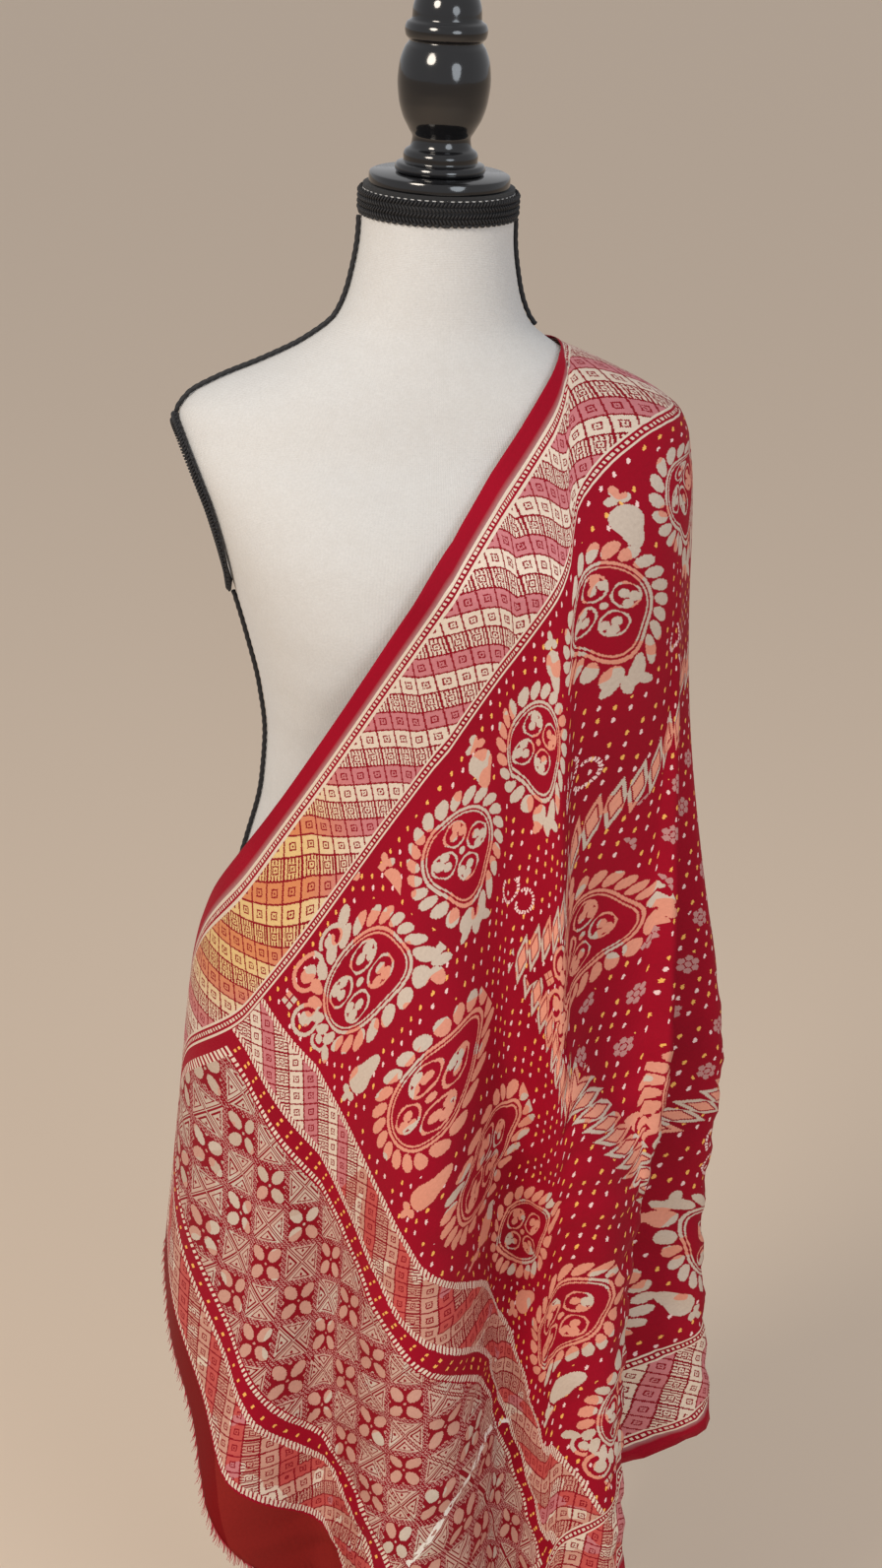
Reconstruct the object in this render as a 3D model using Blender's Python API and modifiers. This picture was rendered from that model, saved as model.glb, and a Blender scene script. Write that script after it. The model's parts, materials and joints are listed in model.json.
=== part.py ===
"""Tie-dyed shawl with woven borders, hung over one shoulder of a dress form on a stand."""
import math

import bmesh
import bpy
import numpy as np

# sizes of the shawl, metres
CLOTH_WIDTH = 0.92
CLOTH_LENGTH = 1.96
SHOULDER_AT = 0.885
CLOTH_THICK = 0.0020
STRETCH = 1.02
BEND = 0.24
CLOTH_CLEAR = 0.0025
MAX_WAVE = 0.055
COLUMNS = 148
ROWS = 15

# sizes of the fringes
FRINGE_BACKING = 0.004
FRINGE_LENGTH = 0.014
FRINGE_GAP = 0.0011

# sizes of the form and its stand
GAP = 0.0003
FORM_SIDES = 44
NECK_TOP = 1.558
BRAID_TALL = 0.020
BRAID_THICK = 0.0035
DISC_RADIUS = 0.0515
DISC_TALL = 0.0085
CORD_RADIUS = 0.0020
TORSO_BOTTOM = 0.720
COLLAR_TALL = 0.030
POLE_RADIUS = 0.0160
BASE_RADIUS = 0.165
BASE_TALL = 0.034

# cross sections of the form: height, half width, front, back, power
FORM = (
    (0.720, 0.150, 0.104, 0.108, 2.2),
    (0.745, 0.160, 0.113, 0.118, 2.2),
    (0.800, 0.164, 0.120, 0.128, 2.2),
    (0.860, 0.163, 0.121, 0.132, 2.2),
    (0.920, 0.157, 0.118, 0.128, 2.2),
    (0.980, 0.145, 0.111, 0.116, 2.2),
    (1.040, 0.129, 0.102, 0.101, 2.2),
    (1.090, 0.118, 0.098, 0.092, 2.2),
    (1.130, 0.116, 0.099, 0.089, 2.2),
    (1.170, 0.121, 0.108, 0.091, 2.2),
    (1.210, 0.131, 0.121, 0.096, 2.2),
    (1.250, 0.143, 0.127, 0.101, 2.3),
    (1.290, 0.157, 0.124, 0.104, 2.4),
    (1.325, 0.171, 0.113, 0.103, 2.4),
    (1.352, 0.182, 0.098, 0.098, 2.4),
    (1.372, 0.187, 0.085, 0.090, 2.3),
    (1.386, 0.187, 0.080, 0.086, 2.2),
    (1.400, 0.179, 0.076, 0.082, 2.1),
    (1.413, 0.157, 0.073, 0.078, 2.0),
    (1.427, 0.1245, 0.068, 0.072, 2.0),
    (1.443, 0.0935, 0.0625, 0.0655, 2.0),
    (1.462, 0.071, 0.056, 0.058, 2.0),
    (1.490, 0.061, 0.053, 0.055, 2.0),
    (1.525, 0.056, 0.051, 0.052, 2.0),
    (1.558, 0.0555, 0.051, 0.052, 2.0),
)

# space that the shawl hangs round: height, left, right, front, back, power
ENVELOPE = (
    (0.020, 0.170, 0.262, 0.165, 0.225, 2.3),
    (0.300, 0.172, 0.258, 0.165, 0.225, 2.3),
    (0.450, 0.184, 0.246, 0.160, 0.215, 2.3),
    (0.600, 0.190, 0.230, 0.152, 0.200, 2.3),
    (0.750, 0.182, 0.220, 0.146, 0.185, 2.3),
    (0.900, 0.172, 0.215, 0.141, 0.170, 2.3),
    (1.000, 0.158, 0.212, 0.138, 0.155, 2.3),
    (1.100, 0.142, 0.210, 0.137, 0.140, 2.3),
    (1.200, 0.146, 0.208, 0.137, 0.125, 2.3),
    (1.280, 0.163, 0.205, 0.136, 0.116, 2.3),
    (1.340, 0.186, 0.202, 0.113, 0.109, 2.4),
    (1.375, 0.196, 0.198, 0.090, 0.095, 2.3),
    (1.392, 0.192, 0.192, 0.083, 0.089, 2.2),
    (1.407, 0.175, 0.173, 0.078, 0.084, 2.1),
    (1.427, 0.134, 0.132, 0.072, 0.077, 2.0),
    (1.444, 0.096, 0.094, 0.066, 0.070, 2.0),
    (1.466, 0.080, 0.080, 0.062, 0.065, 2.0),
)

# how a fall line is led at its top
FRONT, BACK, ROUND = 0, 1, 2
# fall lines of the shawl, in order from its front end round to its back end:
# name, s from the shoulder, t, angle at the top, angle low down, x or place at the top,
# height at the top, how it is led, place low down, fold phase, overlap
FOLDS = (
    ("front end", -0.885, 0.00, 46, 46, -122, 0.765, ROUND, -122, -2.0, 0.0),
    ("left back", -0.762, 0.00, 46, 46, -106, 0.860, ROUND, -106, -1.0, 0.0),
    ("left hip", -0.632, 0.00, 45, 46, -90, 0.970, ROUND, -88, 0.0, 0.0),
    ("corner", -0.520, 0.00, 43, 54, -0.136, 1.058, FRONT, -45, 0.3, 0.0),
    ("left valley", -0.403, 0.00, 38, 58, -0.090, 1.160, FRONT, -19, 1.0, 0.0),
    ("front crest", -0.243, 0.00, 34, 60, -0.018, 1.294, FRONT, 2, 2.0, 0.0),
    ("mid valley", -0.112, 0.00, 32, 60, 0.050, 1.390, FRONT, 18, 3.0, 0.0),
    ("near neck", -0.060, 0.00, 31, 60, 0.0765, 1.426, FRONT, 23, 3.3, 0.0),
    ("neck side", 0.000, 0.00, 31, 60, 0.094, 1.444, FRONT, 27, 3.5, 0.2),
    ("shoulder tip", 0.000, 0.12, 34, 60, 62, 1.392, ROUND, 35, 4.2, 0.4),
    ("pleat edge", 0.000, 0.12, 42, 61, 66, 1.392, ROUND, 40, 4.5, 0.8),
    ("pleat valley", 0.000, 0.12, 51, 63, 71, 1.392, ROUND, 45, 5.0, 0.7),
    ("right crest", 0.000, 0.12, 62, 67, 78, 1.392, ROUND, 64, 6.0, 0.2),
    ("right side", 0.000, 0.12, 75, 78, 85, 1.392, ROUND, 87, 7.0, 0.0),
    ("arm side", 0.000, 0.12, 90, 93, 92, 1.392, ROUND, 105, 8.0, 0.0),
    ("back right", 0.000, 0.12, 106, 112, 100, 1.392, ROUND, 122, 9.0, 0.0),
    ("back crest", 0.000, 0.12, 126, 134, 110, 1.392, ROUND, 139, 10.1, 0.0),
    ("back tip", 0.000, 0.12, 150, 154, 120, 1.392, ROUND, 155, 11.3, 0.0),
    ("back neck", 0.000, 0.00, 158, 160, 0.094, 1.444, BACK, 165, 12.1, 0.0),
    ("back near neck", 0.062, 0.00, 159, 160, 0.080, 1.425, BACK, 167, 12.3, 0.0),
    ("back shoulder", 0.132, 0.00, 160, 161, 0.062, 1.368, BACK, 171, 12.6, 0.0),
    ("back upper", 0.264, 0.00, 162, 161, 0.042, 1.240, BACK, 178, 13.0, 0.0),
    ("back mid", 0.447, 0.00, 165, 162, 0.020, 1.060, BACK, 187, 13.6, 0.0),
    ("back low", 0.794, 0.00, 166, 164, -0.065, 0.725, BACK, 204, 14.6, 0.0),
    ("back end", 1.075, 0.00, 166, 166, -0.105, 0.465, BACK, 219, 15.6, 0.0),
)
NECK_ROW = 8
TIP_ROW = 9
BACK_TIP_ROW = 17
BACK_NECK_ROW = 18

# turned knob on the neck: radius, height over the disc
KNOB = (
    (0.0000, 0.0000),
    (0.0315, 0.0000),
    (0.0330, 0.0025),
    (0.0318, 0.0062),
    (0.0270, 0.0080),
    (0.0272, 0.0120),
    (0.0262, 0.0150),
    (0.0222, 0.0185),
    (0.0212, 0.0245),
    (0.0240, 0.0300),
    (0.0288, 0.0390),
    (0.0322, 0.0510),
    (0.0335, 0.0640),
    (0.0325, 0.0760),
    (0.0290, 0.0870),
    (0.0262, 0.0915),
    (0.0288, 0.0945),
    (0.0297, 0.0990),
    (0.0286, 0.1035),
    (0.0250, 0.1065),
    (0.0246, 0.1130),
    (0.0226, 0.1210),
    (0.0170, 0.1275),
    (0.0090, 0.1312),
    (0.0000, 0.1325),
)

# turned base: radius, height over the floor
BASE = (
    (0.0000, 0.0000),
    (0.1600, 0.0000),
    (0.1650, 0.0040),
    (0.1650, 0.0120),
    (0.1600, 0.0165),
    (0.1200, 0.0190),
    (0.0600, 0.0225),
    (0.0340, 0.0270),
    (0.0270, 0.0340),
    (0.0000, 0.0340),
)


for old in list(bpy.context.scene.objects):
    bpy.data.objects.remove(old, do_unlink=True)

shawlSet = bpy.data.collections.new("shawl on a dress form")
bpy.context.scene.collection.children.link(shawlSet)


def makeMaterial(name, colour, rough, metal=0.0):
    """A plain material of one colour."""
    mat = bpy.data.materials.new(name)
    mat.use_nodes = True
    shader = mat.node_tree.nodes["Principled BSDF"]
    shader.inputs["Base Color"].default_value = (*colour, 1.0)
    shader.inputs["Roughness"].default_value = rough
    shader.inputs["Metallic"].default_value = metal
    mat.diffuse_color = (*colour, 1.0)
    return mat


def makeObject(name, points, faces, mat):
    """A closed mesh object from points and evenly wound faces, turned outward."""
    mesh = bpy.data.meshes.new(name)
    mesh.from_pydata([tuple(p) for p in points], [], [tuple(f) for f in faces])
    mesh.materials.append(mat)
    work = bmesh.new()
    work.from_mesh(mesh)
    if work.calc_volume(signed=True) < 0:
        bmesh.ops.reverse_faces(work, faces=work.faces[:])
    work.to_mesh(mesh)
    work.free()
    obj = bpy.data.objects.new(name, mesh)
    shawlSet.objects.link(obj)
    return obj


def curveThrough(x, xs, ys):
    """A smooth curve through table values that doesn't overshoot them."""
    xs = np.asarray(xs, float)
    ys = np.asarray(ys, float)
    flat = (-1,) + (1,) * (ys.ndim - 1)
    gap = np.diff(xs)
    rise = np.diff(ys, axis=0) / gap.reshape(flat)
    slope = np.zeros_like(ys)
    w1 = (2 * gap[1:] + gap[:-1]).reshape(flat)
    w2 = (gap[1:] + 2 * gap[:-1]).reshape(flat)
    same = rise[1:] * rise[:-1] > 0
    safe0 = np.where(same, rise[:-1], 1.0)
    safe1 = np.where(same, rise[1:], 1.0)
    slope[1:-1] = np.where(same, (w1 + w2) / (w1 / safe0 + w2 / safe1), 0.0)
    slope[0] = rise[0]
    slope[-1] = rise[-1]
    x = np.clip(x, xs[0], xs[-1])
    i = np.clip(np.searchsorted(xs, x, side="right") - 1, 0, len(xs) - 2)
    shape = x.shape + (1,) * (ys.ndim - 1)
    wide = gap[i].reshape(shape)
    q = ((x - xs[i]) / gap[i]).reshape(shape)
    return (
        (1 + 2 * q) * (1 - q) ** 2 * ys[i]
        + q * (1 - q) ** 2 * wide * slope[i]
        + q * q * (3 - 2 * q) * ys[i + 1]
        + q * q * (q - 1) * wide * slope[i + 1]
    )


def ease(q):
    """A smooth step from 0 to 1."""
    q = np.clip(q, 0.0, 1.0)
    return q * q * (3 - 2 * q)


foldTable = np.array([row[1:] for row in FOLDS], float)
foldCount = len(FOLDS)
foldIndex = np.arange(foldCount, dtype=float)


def finerRows(parts):
    """The table's rows with more between those that are led the same way, and their places."""
    rows = [foldTable[0]]
    at = [0.0]
    led = foldTable[:, 6]
    for k in range(foldCount - 1):
        if led[k] == led[k + 1]:
            first = k
            while first > 0 and led[first - 1] == led[k]:
                first -= 1
            last = k + 1
            while last < foldCount - 1 and led[last + 1] == led[k]:
                last += 1
            between = k + np.arange(1, parts) / parts
            group = slice(first, last + 1)
            if last - first > 1:
                more = curveThrough(between, foldIndex[group], foldTable[group])
            else:
                share = (between - k)[:, None]
                more = foldTable[k] * (1 - share) + foldTable[k + 1] * share
            rows.extend(more)
            at.extend(between)
        rows.append(foldTable[k + 1])
        at.append(float(k + 1))
    return np.array(rows), np.array(at)


fineTable, fineIndex = finerRows(5)
envelopeTable = np.array(ENVELOPE)
formTable = np.array(FORM)
steps = 140
lengths = np.linspace(0.0, 1.45, steps + 1)


def envelopePoint(place, height):
    """Point of the envelope at a place round it, 0 in front and 90 at the right, and a height."""
    size = curveThrough(height.ravel(), envelopeTable[:, 0], envelopeTable[:, 1:])
    size = size.reshape(height.shape + (5,))
    c = np.cos(np.radians(place))
    s = np.sin(np.radians(place))
    half = np.where(s > 0, size[..., 1], size[..., 0])
    deep = np.where(c > 0, size[..., 2], size[..., 3])
    power = 2.0 / size[..., 4]
    x = half * np.sign(s) * np.abs(s) ** power
    y = -deep * np.sign(c) * np.abs(c) ** power
    return np.stack([x, y, height], -1), size


def envelopeOut(place, height):
    """Outward direction of the envelope at a place round it and a height."""
    turned = envelopePoint(place + 0.4, height)[0] - envelopePoint(place - 0.4, height)[0]
    raised = envelopePoint(place, height + 0.004)[0] - envelopePoint(place, height - 0.004)[0]
    out = np.cross(turned, raised)
    return out / np.maximum(np.linalg.norm(out, axis=-1, keepdims=True), 1e-12)


def tracedLines():
    """Height and place of each fall line of the table, against the cloth's length down it."""
    topAt = fineTable[:, 5][:, None]
    led = np.round(fineTable[:, 6])[:, None]
    lowAt = fineTable[:, 7][:, None]
    given = fineTable[:, 4][:, None]
    z = topAt - (topAt + 0.10) * np.linspace(0, 1, steps + 1)[None] ** 1.5
    zIn = np.maximum(z, 0.02)
    size = curveThrough(zIn.ravel(), envelopeTable[:, 0], envelopeTable[:, 1:])
    size = size.reshape(z.shape + (5,))
    half = np.where(given > 0, size[..., 1], size[..., 0])
    share = np.clip(np.abs(given) / half, 0, 1)
    plane = np.degrees(np.arcsin(share ** (size[..., 4] / 2))) * np.sign(given)
    fan = (fineTable[:, 1] > 0.1)[:, None] & (led == ROUND)
    spread = np.where(fan, 90 + (given - 90) * ease((topAt - z) / 0.045), given)
    top = np.where(led == FRONT, plane, np.where(led == BACK, 180 - plane, spread))
    blend = ease((topAt - z) / np.maximum(topAt - 0.50, 0.35))
    place = top + (lowAt - top) * blend
    point = envelopePoint(place, zIn)[0]
    point[..., 2] = z
    run = np.linalg.norm(np.diff(point, axis=1), axis=2)
    count = len(fineIndex)
    run = np.concatenate([np.zeros((count, 1)), np.cumsum(run, 1)], 1) / STRETCH
    heights = np.stack([np.interp(lengths, run[i], z[i]) for i in range(count)])
    places = np.stack([np.interp(lengths, run[i], place[i]) for i in range(count)])
    return heights, places


def threadAngle(line, length):
    """Angle in the cloth between its length and the fall line."""
    top = curveThrough(line, foldIndex, foldTable[:, 2])
    low = curveThrough(line, foldIndex, foldTable[:, 3])
    return np.radians(low + (top - low) * np.exp(-((length / BEND) ** 2)))


def clothPlace(line, length):
    """Place in the flat cloth, s from the shoulder and t, of a point down a fall line."""
    s = np.interp(line, foldIndex, foldTable[:, 0])
    t = np.interp(line, foldIndex, foldTable[:, 1])
    parts = 24
    for j in range(parts):
        angle = threadAngle(line, (j + 0.5) / parts * length)
        s = s - np.cos(angle) * length / parts
        t = t + np.sin(angle) * length / parts
    return s, t


def lineEnds(line):
    """Length of each fall line to the edge of the cloth."""
    down = np.linspace(0, 1.5, 301)
    grid, length = np.meshgrid(line, down, indexing="ij")
    s, t = clothPlace(grid, length)
    past = np.stack([t - CLOTH_WIDTH, -s - SHOULDER_AT, s - (CLOTH_LENGTH - SHOULDER_AT)])
    past[:, :, 0] = np.minimum(past[:, :, 0], 0)
    ends = np.zeros(len(line))
    for i in range(len(line)):
        first = int(np.argmax((past[:, i] > 1e-9).any(0)))
        if first == 0:
            continue
        share = 1.0
        for k in range(3):
            a = past[k, i, first - 1]
            b = past[k, i, first]
            if b > 0 and b > a:
                share = min(share, max(-a, 0.0) / (b - a))
        ends[i] = down[first - 1] + share * (down[first] - down[first - 1])
    return ends


def evenOut(values, kernel):
    """Values smoothed along the fall lines' order."""
    pad = len(kernel) // 2
    wide = np.pad(values, ((pad, pad), (0, 0)), mode="edge")
    cols = [np.convolve(wide[:, j], kernel, mode="valid") for j in range(values.shape[1])]
    return np.stack(cols, 1)


def drapedTable(count=900):
    """The draped cloth's points for many fall lines and lengths."""
    heights, places = tracedLines()
    line = np.linspace(0, foldCount - 1, count)
    z = curveThrough(line, fineIndex, heights)
    place = curveThrough(line, fineIndex, places)
    grid, length = np.meshgrid(line, lengths, indexing="ij")
    point = envelopePoint(place, np.maximum(z, 0.02))[0]
    out = envelopeOut(place, np.maximum(z, 0.03))
    point[..., 2] = z
    s, t = clothPlace(grid, length)
    along = np.gradient(point, line, axis=0)
    along[..., 2] = 0
    wide = np.linalg.norm(along, axis=-1)
    side = np.stack([-out[..., 1], out[..., 0], np.zeros_like(z)], -1)
    side = side / np.maximum(np.linalg.norm(side, axis=-1, keepdims=True), 1e-9)
    angle = threadAngle(grid, length)
    cloth = np.abs(
        np.gradient(s, line, axis=0) * np.sin(angle)
        + np.gradient(t, line, axis=0) * np.cos(angle)
    )
    kernel = np.hanning(61)
    kernel = kernel / kernel.sum()
    excess = 0.86 * evenOut(cloth, kernel) / np.maximum(evenOut(wide, kernel), 1e-6)
    phase = curveThrough(line, foldIndex, foldTable[:, 8])
    overlap = curveThrough(line, foldIndex, foldTable[:, 9])
    turn = np.gradient(phase, line) * np.pi
    wave = wide / np.maximum(turn[:, None], 1e-3)
    rise = wave * np.minimum(np.sqrt(np.maximum(excess**2 - 1, 0)) / 0.66, 2.4)
    rise = evenOut(np.minimum(rise, MAX_WAVE), kernel) * ease((length - 0.10) / 0.45)
    swing = phase[:, None] * np.pi
    lift = 0.4 + 0.6 * ease((z - 0.7) / 0.2)
    level = (rise * (np.cos(swing) + lift) + CLOTH_CLEAR)[..., None]
    slide = (overlap[:, None] * rise * np.cos(swing))[..., None]
    return line, point + out * level + side * slide, s + SHOULDER_AT, t, z[:, 0]


tableLine, tablePoint, tableS, tableT, tableTop = drapedTable()


def drapedPoint(line, length, values):
    """A table's values at given fall lines and lengths."""
    u = np.interp(line, tableLine, np.arange(len(tableLine)))
    v = length / (lengths[1] - lengths[0])
    i = np.clip(u.astype(int), 0, values.shape[0] - 2)
    j = np.clip(v.astype(int), 0, values.shape[1] - 2)
    f = u - i
    g = v - j
    if values.ndim == 3:
        f = f[..., None]
        g = g[..., None]
    return (
        values[i, j] * (1 - f) * (1 - g)
        + values[i + 1, j] * f * (1 - g)
        + values[i, j + 1] * (1 - f) * g
        + values[i + 1, j + 1] * f * g
    )


def backTwin(line):
    """The back fall line that starts at the same point of the ridge as a front one."""
    ridge = (tableLine >= BACK_TIP_ROW) & (tableLine <= BACK_NECK_ROW)
    height = np.interp(line, tableLine, tableTop)
    return float(np.interp(height, tableTop[ridge], tableLine[ridge]))


def chosenLines(count):
    """Fall lines for the mesh, evenly spaced across the hanging cloth, with the corners kept."""
    fine = np.linspace(0, foldCount - 1, 1500)
    ends = lineEnds(fine)
    reach = np.zeros(len(fine) - 1)
    for q in (0.35, 0.7, 1.0):
        p = drapedPoint(fine, ends * q, tablePoint)
        reach = np.maximum(reach, np.linalg.norm(np.diff(p, axis=0), axis=1))
    run = np.concatenate([[0], np.cumsum(reach)])
    corners = [0, NECK_ROW, TIP_ROW, BACK_TIP_ROW, BACK_NECK_ROW, foldCount - 1]
    for k in (1, 2):
        s, t = clothPlace(fine, ends)
        if k == 1:
            gap = np.abs(s + SHOULDER_AT) + np.abs(t - CLOTH_WIDTH)
        else:
            gap = np.abs(s - (CLOTH_LENGTH - SHOULDER_AT)) + np.abs(t - CLOTH_WIDTH)
        corners.append(fine[int(np.argmin(gap))])
    corners = sorted(corners)
    lines = []
    kinds = []
    for a, b in zip(corners[:-1], corners[1:]):
        ra = np.interp(a, fine, run)
        rb = np.interp(b, fine, run)
        n = max(int(round((rb - ra) / run[-1] * count)), 3)
        if a == NECK_ROW:
            part = np.linspace(a, b, 7)
        elif a == BACK_TIP_ROW:
            part = np.array([backTwin(v) for v in np.linspace(TIP_ROW, NECK_ROW, 7)])
        else:
            part = np.interp(np.linspace(ra, rb, n + 1), run, fine)
            part[0] = a
            part[-1] = b
        lines.extend(part[:-1])
    lines.append(corners[-1])
    return np.array(lines)


def clothGrid(lines, rows):
    """Points of the cloth's middle surface, and which of them are the same point."""
    ends = lineEnds(lines)
    share = np.linspace(0, 1, rows + 1) ** 1.35
    length = ends[:, None] * share[None]
    grid = np.repeat(lines[:, None], rows + 1, 1)
    point = drapedPoint(grid, length, tablePoint)
    owner = np.arange(point.shape[0] * point.shape[1]).reshape(point.shape[:2])
    wide = rows + 1
    for i, line in enumerate(lines):
        if TIP_ROW < line <= BACK_TIP_ROW:
            owner[i, 0] = owner[int(np.argmin(np.abs(lines - TIP_ROW))), 0]
        elif BACK_TIP_ROW < line <= BACK_NECK_ROW:
            twins = [abs(backTwin(v) - line) if NECK_ROW <= v <= TIP_ROW else 99 for v in lines]
            owner[i, 0] = int(np.argmin(twins)) * wide
        if ends[i] < 1e-6:
            owner[i, :] = owner[i, 0]
    return point, owner, ends


def thickSheet(point, owner, thick):
    """A closed thin solid on both sides of a grid of points."""
    used = np.unique(owner)
    number = {int(v): k for k, v in enumerate(used)}
    flat = point.reshape(-1, 3)[used]
    faces = []
    rim = {}
    for i in range(owner.shape[0] - 1):
        for j in range(owner.shape[1] - 1):
            ring = [owner[i, j], owner[i + 1, j], owner[i + 1, j + 1], owner[i, j + 1]]
            ring = [number[int(v)] for v in ring]
            ring = [v for k, v in enumerate(ring) if v != ring[k - 1]]
            if len(set(ring)) < 3:
                continue
            parts = [ring]
            if len(ring) == 4:
                p = flat[ring]
                if np.linalg.norm(p[2] - p[0]) <= np.linalg.norm(p[3] - p[1]):
                    parts = [[ring[0], ring[1], ring[2]], [ring[0], ring[2], ring[3]]]
                else:
                    parts = [[ring[0], ring[1], ring[3]], [ring[1], ring[2], ring[3]]]
            for part in parts:
                faces.append(part)
                for a, b in zip(part, part[1:] + part[:1]):
                    if (b, a) in rim:
                        del rim[(b, a)]
                    else:
                        rim[(a, b)] = True
    normal = np.zeros_like(flat)
    for ring in faces:
        p = flat[ring]
        n = np.cross(p[1] - p[0], p[2] - p[0])
        normal[ring] += n
    normal = normal / np.maximum(np.linalg.norm(normal, axis=1, keepdims=True), 1e-9)
    count = len(flat)
    points = np.concatenate([flat + normal * thick / 2, flat - normal * thick / 2])
    solid = [list(ring) for ring in faces]
    solid += [[v + count for v in reversed(ring)] for ring in faces]
    solid += [[b, a, a + count, b + count] for a, b in rim]
    return points, solid


def formPoint(place, size):
    """Point of a cross section of the form."""
    c = math.cos(math.radians(place))
    s = math.sin(math.radians(place))
    deep = size[2] if c > 0 else size[3]
    power = 2.0 / size[4]
    x = size[1] * math.copysign(abs(s) ** power, s)
    y = -deep * math.copysign(abs(c) ** power, c)
    return np.array([x, y, size[0]])


def formSize(height):
    """Cross section of the form between the table's rows."""
    size = [np.interp(height, formTable[:, 0], formTable[:, k]) for k in range(1, 5)]
    return [height, *size]


def makeTorso(mat):
    """The stuffed body of the form, closed at the bottom and the neck."""
    points = []
    for size in FORM:
        for k in range(FORM_SIDES):
            points.append(formPoint(360.0 * k / FORM_SIDES, size))
    faces = []
    for i in range(len(FORM) - 1):
        for k in range(FORM_SIDES):
            n = (k + 1) % FORM_SIDES
            a = i * FORM_SIDES
            b = a + FORM_SIDES
            faces.append([a + k, a + n, b + n, b + k])
    faces.append(list(reversed(range(FORM_SIDES))))
    last = (len(FORM) - 1) * FORM_SIDES
    faces.append([last + k for k in range(FORM_SIDES)])
    return makeObject("torso", points, faces, mat)


def makeTurned(name, profile, lift, sides, mat):
    """A turned piece from its profile, by the Screw modifier."""
    mesh = bpy.data.meshes.new(name)
    points = [(r, 0.0, h + lift) for r, h in profile]
    mesh.from_pydata(points, [(i, i + 1) for i in range(len(points) - 1)], [])
    mesh.materials.append(mat)
    obj = bpy.data.objects.new(name, mesh)
    shawlSet.objects.link(obj)
    turn = obj.modifiers.new("turn", "SCREW")
    turn.axis = "Z"
    turn.angle = math.radians(360)
    turn.steps = sides
    turn.render_steps = sides
    turn.use_merge_vertices = True
    turn.merge_threshold = 0.00001
    turn.use_normal_flip = True
    return obj


def makeBand(name, low, high, clear, thick, mat):
    """A band round the neck."""
    points = []
    for height in (low, high):
        size = formSize(height)
        for extra in (clear, clear + thick):
            grown = [size[0], size[1] + extra, size[2] + extra, size[3] + extra, size[4]]
            for k in range(FORM_SIDES):
                points.append(formPoint(360.0 * k / FORM_SIDES, grown))
    n = FORM_SIDES
    faces = []
    for k in range(n):
        m = (k + 1) % n
        inner0, outer0, inner1, outer1 = 0, n, 2 * n, 3 * n
        faces.append([outer0 + k, outer0 + m, outer1 + m, outer1 + k])
        faces.append([inner0 + m, inner0 + k, inner1 + k, inner1 + m])
        faces.append([inner0 + k, inner0 + m, outer0 + m, outer0 + k])
        faces.append([inner1 + m, inner1 + k, outer1 + k, outer1 + m])
    return makeObject(name, points, faces, mat)


def makeCord(name, path, radius, sides, mat, closed=False):
    """A round cord along a path of points."""
    path = [np.array(p, float) for p in path]
    count = len(path)
    points = []
    for i, p in enumerate(path):
        ahead = path[(i + 1) % count] if closed or i < count - 1 else p
        behind = path[i - 1] if closed or i > 0 else p
        run = ahead - behind
        run = run / np.linalg.norm(run)
        a = np.cross(run, np.array([math.copysign(1.0, p[0]), 0.0, 0.0]))
        a = a / np.linalg.norm(a)
        b = np.cross(run, a)
        for k in range(sides):
            turn = 2 * math.pi * k / sides
            points.append(p + radius * (math.cos(turn) * a + math.sin(turn) * b))
    faces = []
    rings = count if closed else count - 1
    for i in range(rings):
        for k in range(sides):
            m = (k + 1) % sides
            a = i * sides
            b = ((i + 1) % count) * sides
            faces.append([a + k, a + m, b + m, b + k])
    if not closed:
        faces.append(list(reversed(range(sides))))
        faces.append([(count - 1) * sides + k for k in range(sides)])
    return makeObject(name, points, faces, mat)


def sidePath(sign, low, high, clear):
    """A path up one side of the form, between two heights."""
    heights = [low] + [row[0] for row in FORM if low + 0.004 < row[0] < high - 0.004] + [high]
    path = []
    for i, height in enumerate(heights):
        size = formSize(height)
        lower = formSize(height - 0.004)
        upper = formSize(min(height + 0.004, NECK_TOP))
        slope = np.array([upper[1] - lower[1], 0.0, upper[0] - lower[0]])
        out = np.array([slope[2], 0.0, -slope[0]])
        out = out / np.linalg.norm(out)
        p = np.array([size[1], 0.0, height]) + out * clear
        p[0] *= sign
        path.append(p)
    return path


def armholePath(sign, clear):
    """The oval round an armhole, on the form's side."""
    path = []
    count = 36
    for k in range(count):
        turn = 2 * math.pi * k / count
        y = 0.046 * math.sin(turn)
        height = 1.318 + 0.064 * math.cos(turn)
        size = formSize(height)
        deep = size[2] if y < 0 else size[3]
        share = (abs(y) / deep) ** size[4]
        x = size[1] * (1 - share) ** (1 / size[4])
        path.append([sign * (x + clear), y, height])
    return path


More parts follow.
